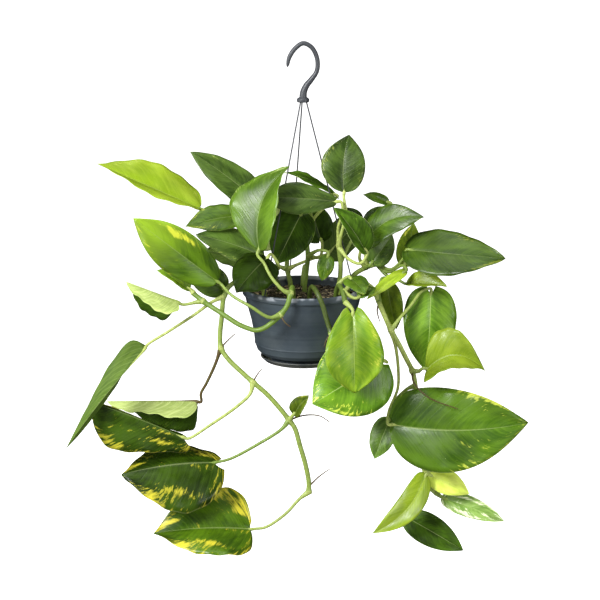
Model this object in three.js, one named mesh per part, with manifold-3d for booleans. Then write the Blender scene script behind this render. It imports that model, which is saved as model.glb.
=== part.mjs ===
// A trailing golden pothos in a hanging nursery pot with a drip tray, on a three-strand hanger.
// Millimetres, +Z up, the viewer stands on the -Y side. The origin is the seat inside the top of
// the hook, where a rail or a ceiling hook carries the whole plant.

import * as THREE from "three";
import { mergeVertices } from "three/addons/utils/BufferGeometryUtils.js";
import Module from "manifold-3d";

const wasm = await Module();
wasm.setup();

// ---- driving dimensions: pot, tray and soil ----
const RIM_Z = -296;
const RIM_RADIUS = 75;
const WALL = 1.8;
const LIP_HEIGHT = 9;
const LIP_DEPTH = 2.4;
const POT_BOTTOM = -380.5;
const FOOT_RADIUS = 40;
const FOOT_HEIGHT = 7;
const TRAY_RADIUS = 53;
const TRAY_FOOT_RADIUS = 44;
const TRAY_HEIGHT = 7.6;
const TRAY_WALL = 1.6;
const PEG_RADIUS = 5;
const PEG_HEAD_RADIUS = 6.6;
const DRAIN_COUNT = 5;
const DRAIN_RADIUS = 3.5;
const DRAIN_RING = 24;
const SOIL_EDGE = -309;
const SOIL_CROWN = -304;
const GAP = 0.3;
const ROUND_SIDES = 28;
const TRAY_SIDES = 20;
const SOIL_SIDES = 18;

// ---- driving dimensions: hanger ----
const HOOK_RADIUS = 2.8;
const HOOK_NECK_RADIUS = 4.6;
const COLLAR_RADIUS = 7.6;
const COLLAR_TOP = -62;
const COLLAR_HEIGHT = 6;
const STRAND_RADIUS = 0.9;
const STRAND_TOP_RING = 4;
const STRAND_HOLE_RADIUS = 1.8;
const STRAND_ANGLES = [225, 105, 345];
const LUG_RING = 66.5;
const LUG_SIZE = 8;
const LUG_THICKNESS = 3;
const LUG_Z = RIM_Z - 5;
const KNOB_RADIUS = 2.6;
const KNOB_HEIGHT = 2.4;
const HOOK_SIDES = 8;
const HOOK_STEP = 6;
const COLLAR_SIDES = 16;
const STRAND_SIDES = 6;
const KNOB_SIDES = 10;

// ---- driving dimensions: plant ----
const STEM_FOOT = -330;
const STEM_RADIUS = 3;
const STEM_SIDES = 6;
const STEM_STEP = 16;
const PETIOLE_RADIUS = 2;
const PETIOLE_SIDES = 5;
const PETIOLE_STEP = 28;
const PETIOLE_SHEATH = 1.25;
const PETIOLE_NECK = 0.95;
const PETIOLE_RUN = 6;
const BUD_PETIOLE = 0.75;
const BUD_SINK = 1.5;
const ROOT_RADIUS = 1.1;
const ROOT_SIDES = 4;
const ROOT_STEP = 14;
const KNOT_RADIUS = 3.9;
const BLADE_THICKNESS = 1;
const BLADE_ROWS = 7;
const BLADE_COLUMNS = 4;
const BLADE_CROWDING = 1.25;
const BLADE_GAP = 2;
const BUD_ROWS = 4;
const BLADE_LOBE = 0.1;
const BLADE_CUP = 0.12;
const BLADE_WAVE = 0.03;
const BLADE_PINCH = 0.5;

// ---- colours ----
const FINISH = {
  plastic: { color: 0x3e464c, roughness: 0.35, metalness: 0 },
  hanger: { color: 0x474b50, roughness: 0.45, metalness: 0 },
  soil: { color: 0x1c1712, roughness: 0.95, metalness: 0 },
  stem: { color: 0x8ea050, roughness: 0.5, metalness: 0 },
  leaf: { color: 0x5a8a2c, roughness: 0.4, metalness: 0 },
};

const plant = new THREE.Group();

function addMesh(name, geometry, finish) {
  const mesh = new THREE.Mesh(geometry, new THREE.MeshStandardMaterial(FINISH[finish]));
  mesh.name = name;
  plant.add(mesh);
  return mesh;
}

// ---- solids: joining and cutting ----
function toSolid(geometry) {
  const bare = new THREE.BufferGeometry();
  bare.setAttribute("position", geometry.getAttribute("position"));
  if (geometry.index) bare.setIndex(geometry.index);
  const merged = mergeVertices(bare, 1e-4);
  const mesh = new wasm.Mesh({
    numProp: 3,
    vertProperties: new Float32Array(merged.getAttribute("position").array),
    triVerts: new Uint32Array(merged.index.array),
  });
  return new wasm.Manifold(mesh);
}

function toGeometry(solid) {
  const mesh = solid.getMesh();
  const geometry = new THREE.BufferGeometry();
  geometry.setAttribute("position", new THREE.BufferAttribute(mesh.vertProperties, 3));
  geometry.setIndex(new THREE.BufferAttribute(mesh.triVerts, 1));
  return geometry;
}

function join(geometries) {
  let whole = toSolid(geometries[0]);
  for (const geometry of geometries.slice(1)) {
    whole = whole.add(toSolid(geometry));
  }
  return whole;
}

function uprightCylinder(radius, bottom, top, x, y, sides) {
  const geometry = new THREE.CylinderGeometry(radius, radius, top - bottom, sides);
  geometry.rotateX(Math.PI / 2);
  geometry.translate(x, y, (bottom + top) / 2);
  return geometry;
}

// A turned shape about the vertical axis, from [radius, height] pairs that run up the outside.
function turned(profile, sides = ROUND_SIDES) {
  const points = profile.map(([radius, height]) => new THREE.Vector2(radius, height));
  const geometry = new THREE.LatheGeometry(points, sides);
  geometry.rotateX(Math.PI / 2);
  return geometry;
}

// A round bar along a smooth curve through points, with an optional radius factor along it.
function bar(points, radius, sides, stepLength, factorAt) {
  const vectors = points.map((point) => new THREE.Vector3(...point));
  const curve = new THREE.CatmullRomCurve3(vectors, false, "centripetal");
  const steps = Math.max(2, Math.round(curve.getLength() / stepLength));
  const section = new THREE.Shape();
  for (let i = 0; i < sides; i += 1) {
    const angle = (i / sides) * 2 * Math.PI;
    const x = radius * Math.cos(angle);
    const y = radius * Math.sin(angle);
    if (i === 0) section.moveTo(x, y);
    else section.lineTo(x, y);
  }
  section.closePath();
  const geometry = new THREE.ExtrudeGeometry(section, { steps, extrudePath: curve, bevelEnabled: false });
  if (factorAt) swell(geometry, curve, steps, factorAt);
  return geometry;
}

// Scales each ring of a bar about its own centre.
function swell(geometry, curve, steps, factorAt) {
  const centres = curve.getSpacedPoints(steps);
  const position = geometry.getAttribute("position");
  const point = new THREE.Vector3();
  for (let i = 0; i < position.count; i += 1) {
    point.fromBufferAttribute(position, i);
    let nearest = 0;
    for (let k = 1; k <= steps; k += 1) {
      if (point.distanceToSquared(centres[k]) < point.distanceToSquared(centres[nearest])) nearest = k;
    }
    point.sub(centres[nearest]).multiplyScalar(factorAt(nearest / steps)).add(centres[nearest]);
    position.setXYZ(i, point.x, point.y, point.z);
  }
}

function ball(radius, centre) {
  const geometry = new THREE.SphereGeometry(radius, 6, 4);
  geometry.translate(...centre);
  return geometry;
}

// ---- pot, tray and soil ----
function strandPoint(angle, ring, height) {
  const turn = THREE.MathUtils.degToRad(angle);
  return [ring * Math.cos(turn), ring * Math.sin(turn), height];
}

// The pot wall from the floor up, as [radius, height] pairs. Only its outside has the bead.
const POT_FLOOR_EDGE = [46, POT_BOTTOM];
const POT_LOWER_WALL = [
  [52, POT_BOTTOM + 2],
  [57, POT_BOTTOM + 7],
  [59.4, POT_BOTTOM + 14],
];
const POT_BEAD = [
  [60.2, POT_BOTTOM + 15],
  [59.9, POT_BOTTOM + 16.5],
];
const POT_UPPER_WALL = [
  [61.4, POT_BOTTOM + 30],
  [64.6, POT_BOTTOM + 46],
  [69.6, POT_BOTTOM + 64],
  [72.2, RIM_Z - LIP_HEIGHT],
];
const POT_OUTSIDE = [POT_FLOOR_EDGE, ...POT_LOWER_WALL, ...POT_BEAD, ...POT_UPPER_WALL];

function potGeometry() {
  const inside = [...POT_LOWER_WALL, ...POT_UPPER_WALL]
    .map(([radius, height]) => [radius - WALL, Math.max(height, POT_BOTTOM + WALL)]);
  const bore = PEG_RADIUS + 0.4;
  const lip = [
    [RIM_RADIUS - 1.4, RIM_Z - LIP_HEIGHT],
    [RIM_RADIUS - 0.2, RIM_Z - LIP_HEIGHT + 1.5],
    [RIM_RADIUS, RIM_Z - 2],
    [RIM_RADIUS - 0.8, RIM_Z - 0.4],
    [RIM_RADIUS - LIP_DEPTH, RIM_Z],
    [RIM_RADIUS - LIP_DEPTH - 1.4, RIM_Z - 0.6],
  ];
  const foot = [
    [bore, POT_BOTTOM],
    [FOOT_RADIUS - 3, POT_BOTTOM],
    [FOOT_RADIUS - 3, POT_BOTTOM - FOOT_HEIGHT],
    [FOOT_RADIUS, POT_BOTTOM - FOOT_HEIGHT],
    [FOOT_RADIUS, POT_BOTTOM],
  ];
  const floor = [[bore, POT_BOTTOM + WALL], [bore, POT_BOTTOM]];
  const profile = [...foot, ...POT_OUTSIDE, ...lip, ...inside.reverse(), ...floor];
  let pot = toSolid(turned(profile));
  for (const angle of STRAND_ANGLES) {
    pot = pot.add(toSolid(lugGeometry(angle)));
    const [x, y] = strandPoint(angle, LUG_RING, 0);
    const hole = uprightCylinder(STRAND_HOLE_RADIUS, LUG_Z - 4, LUG_Z + 4, x, y, 8);
    pot = pot.subtract(toSolid(hole));
  }
  for (let i = 0; i < DRAIN_COUNT; i += 1) {
    const [x, y] = strandPoint((i * 360) / DRAIN_COUNT, DRAIN_RING, 0);
    const hole = uprightCylinder(DRAIN_RADIUS, POT_BOTTOM - 1, POT_BOTTOM + 3, x, y, 10);
    pot = pot.subtract(toSolid(hole));
  }
  return toGeometry(pot);
}

// A small shelf inside the rim that a strand's end passes through.
function lugGeometry(angle) {
  const geometry = new THREE.BoxGeometry(LUG_SIZE, LUG_SIZE, LUG_THICKNESS);
  geometry.translate(LUG_RING + 1, 0, LUG_Z);
  geometry.rotateZ(THREE.MathUtils.degToRad(angle));
  return geometry;
}

const TRAY_FLOOR = POT_BOTTOM - FOOT_HEIGHT - GAP - TRAY_WALL;

function trayGeometry() {
  const top = TRAY_FLOOR + TRAY_HEIGHT;
  const floorTop = TRAY_FLOOR + TRAY_WALL;
  return turned([
    [0, TRAY_FLOOR],
    [TRAY_FOOT_RADIUS, TRAY_FLOOR],
    [TRAY_FOOT_RADIUS + 3.5, TRAY_FLOOR + 1.2],
    [TRAY_RADIUS - 2.4, top - 3.4],
    [TRAY_RADIUS - 0.4, top - 1.8],
    [TRAY_RADIUS, top - 0.8],
    [TRAY_RADIUS - 0.8, top],
    [TRAY_RADIUS - 2.4, top - 0.6],
    [TRAY_FOOT_RADIUS + 2.6, floorTop + 1.2],
    [TRAY_FOOT_RADIUS, floorTop],
    [PEG_RADIUS, floorTop],
    [PEG_RADIUS, POT_BOTTOM + WALL + 1],
    [PEG_HEAD_RADIUS, POT_BOTTOM + WALL + 1.4],
    [PEG_RADIUS - 1.5, POT_BOTTOM + WALL + 5],
    [0, POT_BOTTOM + WALL + 5],
  ], TRAY_SIDES);
}

// Radius inside the pot at a height, between the points of the wall's outline.
function insideRadius(height) {
  for (let i = 1; i < POT_OUTSIDE.length; i += 1) {
    const [lowRadius, low] = POT_OUTSIDE[i - 1];
    const [highRadius, high] = POT_OUTSIDE[i];
    if (height <= high) {
      const share = (height - low) / (high - low);
      return THREE.MathUtils.lerp(lowRadius, highRadius, share) - WALL;
    }
  }
  return POT_OUTSIDE[POT_OUTSIDE.length - 1][0] - WALL;
}

function soilGeometry(stems) {
  const bottom = POT_BOTTOM + WALL + GAP;
  const pocket = PEG_HEAD_RADIUS + 1;
  const heights = [7, 14, 30, 46, 64].map((rise) => POT_BOTTOM + rise);
  const profile = [
    [0, bottom + 6],
    [pocket, bottom + 6],
    [pocket, bottom],
    [44, bottom],
    ...[...heights, SOIL_EDGE].map((height) => [insideRadius(height) - GAP - 0.5, height]),
    [60, SOIL_EDGE + 1.5],
    [40, SOIL_CROWN - 1],
    [18, SOIL_CROWN],
    [0, SOIL_CROWN - 0.5],
  ];
  let soil = toSolid(turned(profile, SOIL_SIDES));
  for (const stem of stems) {
    const [x, y] = stem.path[0];
    const hole = uprightCylinder(STEM_RADIUS + 0.7, STEM_FOOT - 0.4, SOIL_CROWN + 8, x, y, 8);
    soil = soil.subtract(toSolid(hole));
  }
  return toGeometry(soil);
}

// ---- hanger ----
const HOOK_LINE = [
  [-19, 0, -25.5],
  [-16.5, 0, -14],
  [-9.5, 0, -3.4],
  [0, 0, HOOK_RADIUS],
  [9.2, 0, -1],
  [15, 0, -9.5],
  [17.6, 0, -20],
  [16.4, 0, -31],
  [10.5, 0, -40],
  [4, 0, -48],
  [0.6, 0, -56],
  [0, 0, COLLAR_TOP - 1],
];

function hookGeometry() {
  const thickness = (share) => {
    if (share < 0.12) return THREE.MathUtils.lerp(0.45, 1, share / 0.12);
    if (share < 0.7) return 1;
    return THREE.MathUtils.lerp(1, HOOK_NECK_RADIUS / HOOK_RADIUS, (share - 0.7) / 0.3);
  };
  const hook = bar(HOOK_LINE, HOOK_RADIUS, HOOK_SIDES, HOOK_STEP, thickness);
  const collar = turned([
    [0, COLLAR_TOP - COLLAR_HEIGHT],
    [COLLAR_RADIUS - 1, COLLAR_TOP - COLLAR_HEIGHT],
    [COLLAR_RADIUS, COLLAR_TOP - COLLAR_HEIGHT + 1],
    [COLLAR_RADIUS, COLLAR_TOP - 2],
    [HOOK_NECK_RADIUS + 0.6, COLLAR_TOP],
    [0, COLLAR_TOP],
  ], COLLAR_SIDES);
  let whole = join([hook, collar]);
  const bottom = COLLAR_TOP - COLLAR_HEIGHT;
  for (const angle of STRAND_ANGLES) {
    const [x, y] = strandPoint(angle, STRAND_TOP_RING, 0);
    const hole = uprightCylinder(STRAND_HOLE_RADIUS, bottom - 1, bottom + 4, x, y, STRAND_SIDES);
    whole = whole.subtract(toSolid(hole));
  }
  return toGeometry(whole);
}

// One strand: a straight rod from its hole in the collar, through its lug, to a knob under the lug.
function strandGeometry(angle) {
  const knobZ = LUG_Z - LUG_THICKNESS / 2 - GAP - KNOB_HEIGHT / 2;
  const holeZ = COLLAR_TOP - COLLAR_HEIGHT + 1.5;
  const slope = (LUG_RING - STRAND_TOP_RING) / (holeZ - LUG_Z);
  const top = strandPoint(angle, STRAND_TOP_RING - slope * 1.5, holeZ + 1.5);
  const end = strandPoint(angle, LUG_RING + slope * (LUG_Z - knobZ), knobZ);
  const rod = bar([top, end], STRAND_RADIUS, STRAND_SIDES, 400);
  const [knobX, knobY] = end;
  const half = KNOB_HEIGHT / 2;
  const knob = uprightCylinder(KNOB_RADIUS, knobZ - half, knobZ + half, knobX, knobY, KNOB_SIDES);
  return toGeometry(join([rod, knob]));
}

// ---- leaf blades ----
// Share of the widest half-width at a station from the stalk (0) to the tip (1). The first power
// rounds the base, the second draws in the tip and the pinch gives it its drip point. A fullness
// over 1 moves the widest part towards the tip.
function bladeShare(station, full) {
  const moved = Math.pow(station, full);
  const oval = 2.1 * Math.pow(moved + 0.012, 0.42) * Math.pow(1 - moved, 0.75);
  return oval * (1 - BLADE_PINCH * Math.pow(station, 8));
}

// The blade's own directions: along the midrib, across it, and out of its upper face.
function bladeFrame(leaf) {
  const base = new THREE.Vector3(...leaf.base);
  const along = new THREE.Vector3(...leaf.tip).sub(base);
  const length = along.length();
  along.normalize();
  const up = new THREE.Vector3(...leaf.face);
  up.addScaledVector(along, -up.dot(along)).normalize();
  const side = new THREE.Vector3().crossVectors(up, along);
  return { base, along, up, side, length };
}

// A point of the blade's middle surface. station runs from the stalk to the tip, across from -1 to 1.
function bladePoint(leaf, frame, station, across) {
  const { fold = 12, arch = 0.06, twist = 0, bend = 0, full = 1, lobe = BLADE_LOBE } = leaf;
  const spread = Math.abs(across);
  const half = (leaf.width / 2) * bladeShare(station, full);
  const reach = station - lobe * Math.pow(spread, 1.6) * Math.pow(1 - station, 3);
  const rise = 4 * reach * (1 - reach);
  const slope = THREE.MathUtils.degToRad(fold);
  const turn = THREE.MathUtils.degToRad(twist) * Math.max(reach, 0);
  const ripple = BLADE_WAVE * Math.sin(9 * station + 2 * across + leaf.width) * spread * spread;
  const out = across * half * Math.cos(slope);
  const lift = spread * half * (Math.sin(slope) - BLADE_CUP * spread) + ripple * leaf.width;
  const point = frame.base.clone().addScaledVector(frame.along, reach * frame.length);
  point.addScaledVector(frame.up, arch * frame.length * rise + out * Math.sin(turn) + lift * Math.cos(turn));
  point.addScaledVector(frame.side, bend * rise + out * Math.cos(turn) - lift * Math.sin(turn));
  return point;
}

// The upward direction of the middle surface, from its slope both ways.
function bladeNormal(leaf, frame, station, across) {
  const step = 0.02;
  const s0 = Math.max(station - step, 0);
  const s1 = Math.min(station + step, 0.97);
  const a0 = Math.max(across - step, -1);
  const a1 = Math.min(across + step, 1);
  const alongway = bladePoint(leaf, frame, s1, across).sub(bladePoint(leaf, frame, s0, across));
  const sideway = bladePoint(leaf, frame, station, a1).sub(bladePoint(leaf, frame, station, a0));
  return new THREE.Vector3().crossVectors(alongway, sideway).normalize();
}

// A closed blade: two like-triangulated faces half a thickness to each side of the middle surface.
function bladeGeometry(leaf, rows = BLADE_ROWS, columns = BLADE_COLUMNS) {
  const frame = bladeFrame(leaf);
  const middle = [];
  for (let row = 0; row < rows; row += 1) {
    const station = Math.pow(row / rows, BLADE_CROWDING);
    for (let column = 0; column <= columns; column += 1) {
      const across = (2 * column) / columns - 1;
      middle.push([bladePoint(leaf, frame, station, across), bladeNormal(leaf, frame, station, across)]);
    }
  }
  middle.push([bladePoint(leaf, frame, 1, 0), bladeNormal(leaf, frame, 0.95, 0)]);
  const count = middle.length;
  const positions = [];
  for (const offset of [BLADE_THICKNESS / 2, -BLADE_THICKNESS / 2]) {
    for (const [point, normal] of middle) {
      const vertex = point.clone().addScaledVector(normal, offset);
      positions.push(vertex.x, vertex.y, vertex.z);
    }
  }
  const faces = [];
  const at = (row, column) => row * (columns + 1) + column;
  for (let row = 0; row < rows - 1; row += 1) {
    for (let column = 0; column < columns; column += 1) {
      const a = at(row, column);
      const b = at(row, column + 1);
      const c = at(row + 1, column + 1);
      const d = at(row + 1, column);
      if (column < columns / 2) faces.push([a, d, c], [a, c, b]);
      else faces.push([a, d, b], [b, d, c]);
    }
  }
  const tip = count - 1;
  for (let column = 0; column < columns; column += 1) {
    faces.push([at(rows - 1, column), tip, at(rows - 1, column + 1)]);
  }
  const border = [];
  for (let column = 0; column <= columns; column += 1) border.push(at(0, column));
  for (let row = 1; row < rows; row += 1) border.push(at(row, columns));
  border.push(tip);
  for (let row = rows - 1; row > 0; row -= 1) border.push(at(row, 0));
  const index = [];
  for (const [a, b, c] of faces) {
    index.push(a, b, c, a + count, c + count, b + count);
  }
  for (let i = 0; i < border.length; i += 1) {
    const a = border[i];
    const b = border[(i + 1) % border.length];
    index.push(a, b, b + count, a, b + count, a + count);
  }
  const geometry = new THREE.BufferGeometry();
  geometry.setAttribute("position", new THREE.Float32BufferAttribute(positions, 3));
  geometry.setIndex(index);
  return geometry;
}

// ---- stems ----
// The leaf stalk, from its place on the stem to just short of the blade, or sunk into a bud's blade.
function petioleGeometry(leaf, sunk) {
  const { base, along } = bladeFrame(leaf);
  const end = base.clone().addScaledVector(along, sunk ? BUD_SINK : -BLADE_GAP);
  const before = base.clone().addScaledVector(along, -PETIOLE_RUN);
  const points = [leaf.from, ...leaf.via, before.toArray(), end.toArray()];
  const radius = PETIOLE_RADIUS * (sunk ? BUD_PETIOLE : 1);
  const thickness = (share) => THREE.MathUtils.lerp(PETIOLE_SHEATH, PETIOLE_NECK, share);
  return bar(points, radius, PETIOLE_SIDES, PETIOLE_STEP, thickness);
}

function stemGeometry(stem) {
  const [footX, footY] = stem.path[0];
  const line = [
    [footX, footY, STEM_FOOT],
    [footX, footY, STEM_FOOT + 12],
    [footX, footY, SOIL_CROWN - 2],
    ...stem.path,
  ];
  const pieces = [bar(line, STEM_RADIUS, STEM_SIDES, STEM_STEP)];
  for (const knot of stem.knots ?? []) pieces.push(ball(KNOT_RADIUS, knot));
  for (const root of stem.roots ?? []) pieces.push(bar(root, ROOT_RADIUS, ROOT_SIDES, ROOT_STEP));
  for (const leaf of stem.leaves) pieces.push(petioleGeometry(leaf, false));
  for (const bud of stem.buds ?? []) {
    pieces.push(petioleGeometry(bud, true));
    pieces.push(bladeGeometry(bud, BUD_ROWS));
  }
  return toGeometry(join(pieces));
}

// Every stem with its leaves. path runs from the soil's mouth to the growing end. Of a leaf, base is
// where the stalk meets the blade, tip its point, face the way its upper side looks, width its widest
// part, from its place on the stem and via the bends of its stalk. fold lifts both halves about the
// midrib in degrees, twist turns the tip, arch and bend bow the midrib up and sideways.
const STEMS = [
  {
    name: "vine_front",
    path: [[-12, -45, -298], [-13, -62, -284], [-15, -80, -288], [-19, -84, -302], [-27, -84, -313],
      [-36, -83, -322], [-47, -82, -330], [-57, -80, -333], [-66, -78, -331], [-77, -75, -327],
      [-88, -71, -321], [-98, -67, -315], [-109, -62, -309], [-121, -57, -302], [-132, -53, -294]],
    knots: [[-15, -80, -288], [-27, -84, -313], [-121, -57, -302]],
    roots: [[[-27, -84, -313], [-22, -88, -321], [-15, -89, -327]]],
    leaves: [
      { base: [-53, -55, -239], tip: [-16, -42, -140], face: [-0.57, -0.82, 0.1], width: 84, fold: 24,
        bend: 15, twist: -25, lobe: 0, full: 1.25,
        from: [-15, -80, -288], via: [[-24, -84, -283], [-38, -79, -268], [-47, -68, -253]] },
      { base: [-103, -66, -276], tip: [-201, -80, -197], face: [-0.25, -0.9, 0.35], width: 57, fold: 14,
        full: 1.35, lobe: 0,
        from: [-27, -84, -313], via: [[-40, -90, -315], [-62, -90, -302], [-86, -78, -290]] },
      { base: [-151, -58, -304], tip: [-211, -78, -274], face: [0.1, -0.52, -0.85], width: 70, fold: 52,
        twist: -42, arch: 0, full: 0.72, lobe: 0, from: [-121, -57, -302], via: [[-130, -56, -304]] },
    ],
    buds: [
      { base: [-140, -52, -287], tip: [-176, -57, -264], face: [0, -0.6, 0.8], width: 26, fold: 35,
        from: [-132, -53, -294], via: [] },
    ],
  },
  {
    name: "vine_left",
    path: [[-48, -18, -298], [-60, -22, -284], [-78, -32, -282], [-90, -40, -288], [-96, -45, -299],
      [-99, -46, -326], [-101, -47, -345], [-100, -49, -362], [-91, -54, -375], [-73, -61, -391],
      [-61, -65, -401], [-44, -69, -415], [-28, -73, -432], [-17, -75, -446], [-10, -76, -456],
      [-4, -76, -477], [3, -76, -502], [7, -76, -524], [7, -76, -539]],
    knots: [[-100, -49, -362], [-61, -65, -401], [-17, -75, -446], [7, -76, -537]],
    roots: [[[-100, -49, -362], [-92, -55, -352], [-82, -58, -342]],
      [[-61, -65, -401], [-55, -69, -390], [-50, -70, -383]],
      [[-17, -75, -446], [2, -82, -438], [20, -85, -438], [33, -86, -446]],
      [[7, -76, -530], [20, -79, -516], [33, -80, -506]]],
    leaves: [
      { base: [-192, -60, -360], tip: [-278, -158, -458], face: [-0.8, 0.57, 0.18], width: 47, fold: 55,
        twist: 62, arch: 0.02, full: 0.43, lobe: 0.02,
        from: [-96, -45, -299], via: [[-110, -48, -305], [-133, -52, -321], [-165, -57, -341]] },
      { base: [-132, -32, -435], tip: [-242, -36, -433], face: [0, -0.7, -0.71], width: 90, fold: 54,
        twist: -32, arch: 0, full: 0.48, lobe: 0.02,
        from: [-100, -49, -362], via: [[-108, -46, -385], [-119, -38, -410], [-126, -34, -424]] },
      { base: [-145, -86, -464], tip: [-256, -100, -416], face: [0.42, -0.52, 0.72], width: 84, fold: -42,
        arch: 0.02, full: 2, lobe: 0.12,
        from: [-61, -65, -401], via: [[-64, -70, -414], [-80, -74, -429], [-112, -82, -450]] },
      { base: [-108, -80, -498], tip: [-219, -108, -505], face: [0, -0.6, 0.8], width: 112, fold: -22,
        full: 1.1, lobe: 0.1,
        from: [-17, -75, -446], via: [[-26, -80, -456], [-54, -82, -474], [-88, -81, -493]] },
      { base: [-65, -84, -582], tip: [-182, -104, -581], face: [0, -0.62, 0.78], width: 110, fold: 23,
        full: 0.85, lobe: 0.02,
        from: [7, -76, -537], via: [[-4, -78, -545], [-22, -81, -564], [-46, -83, -580]] },
      { base: [-98, -34, -291], tip: [-143, -36, -262], face: [-0.1, -0.95, 0.3], width: 38, fold: 8,
        from: [-96, -45, -299], via: [] },
    ],
    buds: [
      { base: [-10, -82, -435], tip: [7, -89, -411], face: [-0.3, -0.8, 0.5], width: 24, fold: 30,
        from: [-17, -75, -446], via: [[-14, -80, -441]] },
    ],
  },
  {
    name: "vine_front_right",
    path: [[8, -42, -298], [11, -60, -284], [18, -79, -290], [24, -83, -304], [28, -85, -318],
      [34, -89, -335], [40, -94, -346]],
    knots: [[34, -89, -335]],
    roots: [[[34, -89, -335], [28, -92, -342], [25, -92, -351]]],
    leaves: [
      { base: [92, -76, -374], tip: [11, -97, -420], face: [-0.1, -1, 0.15], width: 98, fold: -6,
        from: [40, -94, -346], via: [[56, -98, -352], [86, -95, -363], [101, -82, -372]] },
    ],
  },
  {
    name: "shoot_front_right",
    path: [[40, -38, -298], [43, -52, -284], [47, -72, -286], [50, -86, -297]],
    leaves: [
      { base: [59, -94, -311], tip: [61, -114, -402], face: [0.1, -1, 0.25], width: 74, fold: 14,
        full: 1.7, from: [50, -86, -297], via: [] },
      { base: [58, -56, -275], tip: [74, -86, -288], face: [0.1, -0.6, 0.8], width: 30, fold: 12,
        from: [43, -52, -284], via: [[47, -52, -278]] },
    ],
    buds: [
      { base: [68, -76, -292], tip: [88, -66, -284], face: [0, -0.5, 0.9], width: 20, fold: 20,
        from: [47, -72, -286], via: [[58, -77, -293]] },
    ],
  },
  {
    name: "vine_right",
    path: [[52, -20, -298], [66, -26, -284], [84, -38, -290], [92, -46, -306], [99, -50, -322],
      [107, -50, -340], [116, -50, -356], [125, -48, -374], [134, -42, -393], [139, -28, -415],
      [142, -26, -445], [144, -24, -478], [147, -22, -505], [153, -20, -530], [158, -20, -548],
      [166, -19, -556]],
    knots: [[107, -50, -340], [134, -42, -393], [147, -22, -505], [158, -20, -548]],
    roots: [[[92, -46, -306], [90, -49, -316], [93, -50, -329]],
      [[134, -42, -393], [135, -52, -404], [152, -64, -420], [188, -72, -433]]],
    leaves: [
      { base: [157, -18, -301], tip: [152, -28, -397], face: [0.1, -1, 0.1], width: 68, fold: 8,
        from: [107, -50, -340], via: [[116, -46, -328], [132, -34, -312], [146, -22, -297]] },
      { base: [152, -50, -388], tip: [221, -66, -387], face: [0.1, -0.75, 0.6], width: 82, fold: 38,
        bend: 14, full: 0.65, lobe: 0.04, arch: 0.16, from: [134, -42, -393], via: [[142, -46, -392]] },
      { base: [111, -46, -460], tip: [275, -68, -451], face: [0.05, -0.95, 0.25], width: 106, fold: 7,
        bend: -8, lobe: 0.03, from: [107, -50, -340],
        via: [[113, -48, -362], [117, -38, -392], [117, -27, -420], [106, -32, -448]] },
      { base: [107, -24, -462], tip: [89, -34, -508], face: [-0.3, -0.9, 0.2], width: 34, fold: 10,
        from: [139, -28, -415], via: [[128, -22, -422], [113, -19, -440]] },
      { base: [152, -42, -527], tip: [86, -60, -596], face: [-0.2, -0.9, 0.4], width: 34, fold: 12,
        bend: 12, lobe: 0.02, from: [147, -22, -505], via: [[157, -26, -510], [162, -37, -517]] },
      { base: [161, -28, -532], tip: [207, -42, -551], face: [0.1, -0.8, 0.6], width: 34, fold: 10,
        from: [153, -20, -530], via: [] },
      { base: [181, -23, -564], tip: [252, -38, -588], face: [0.1, -0.85, 0.5], width: 29, fold: 10,
        from: [166, -19, -556], via: [] },
      { base: [135, -18, -592], tip: [202, -34, -628], face: [0, -0.9, 0.4], width: 41, fold: 12,
        from: [158, -20, -548], via: [[150, -9, -566], [134, -5, -582], [124, -10, -590]] },
    ],
    buds: [
      { base: [102, -30, -285], tip: [115, -26, -344], face: [-0.3, -1, 0.1], width: 34, fold: 10, lobe: 0,
        from: [92, -46, -306], via: [[92, -38, -292], [96, -33, -279]] },
    ],
  },
  {
    name: "shoot_left",
    path: [[-30, 12, -298], [-38, 10, -284], [-52, 8, -268], [-60, 6, -250]],
    leaves: [
      { base: [-127, 12, -200], tip: [-251, -6, -142], face: [0, -0.45, 0.9], width: 74, fold: 30,
        arch: 0, full: 1.1, lobe: 0,
        from: [-60, 6, -250], via: [[-74, 8, -238], [-102, 12, -214]] },
      { base: [-52, 26, -197], tip: [-139, 22, -131], face: [0, -0.8, 0.6], width: 46, fold: 10, lobe: 0,
        from: [-60, 6, -250], via: [[-49, 24, -230], [-39, 30, -210]] },
      { base: [-76, -8, -206], tip: [-143, -28, -216], face: [-0.1, -0.7, 0.7], width: 42, fold: 12,
        from: [-60, 6, -250], via: [[-65, -2, -230]] },
      { base: [-54, -18, -252], tip: [-130, -38, -224], face: [0, -0.8, 0.6], width: 44, fold: 8,
        from: [-38, 10, -284], via: [[-44, -8, -272]] },
      { base: [-43, -50, -250], tip: [-80, -76, -288], face: [-0.3, -0.8, 0.55], width: 60, fold: 0, lobe: 0,
        from: [-38, 10, -284], via: [[-34, -12, -274], [-29, -40, -262]] },
    ],
  },
  {
    name: "shoot_centre",
    path: [[2, 6, -298], [4, 4, -280], [6, 2, -258], [4, 4, -236]],
    leaves: [
      { base: [-3, -8, -205], tip: [-33, -26, -263], face: [0.1, -0.9, 0.45], width: 54, fold: 6,
        from: [4, 4, -236], via: [[10, 4, -216], [8, 0, -201]] },
      { base: [22, 24, -240], tip: [7, 30, -193], face: [0, -1, 0.2], width: 42, fold: 10,
        from: [6, 2, -258], via: [[21, 14, -261]] },
      { base: [38, 18, -183], tip: [-24, -4, -153], face: [0, -0.25, 1], width: 42, fold: 10,
        from: [4, 4, -236], via: [[14, 12, -212], [34, 18, -193]] },
    ],
    buds: [
      { base: [30, -12, -257], tip: [23, -18, -285], face: [0, -1, 0.1], width: 22, fold: 12,
        from: [6, 2, -258], via: [[20, -6, -249]] },
      { base: [0, 0, -196], tip: [-30, -12, -192], face: [0, -0.5, 0.9], width: 18, fold: 20,
        from: [4, 4, -236], via: [[8, 4, -208]] },
    ],
  },
  {
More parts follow.
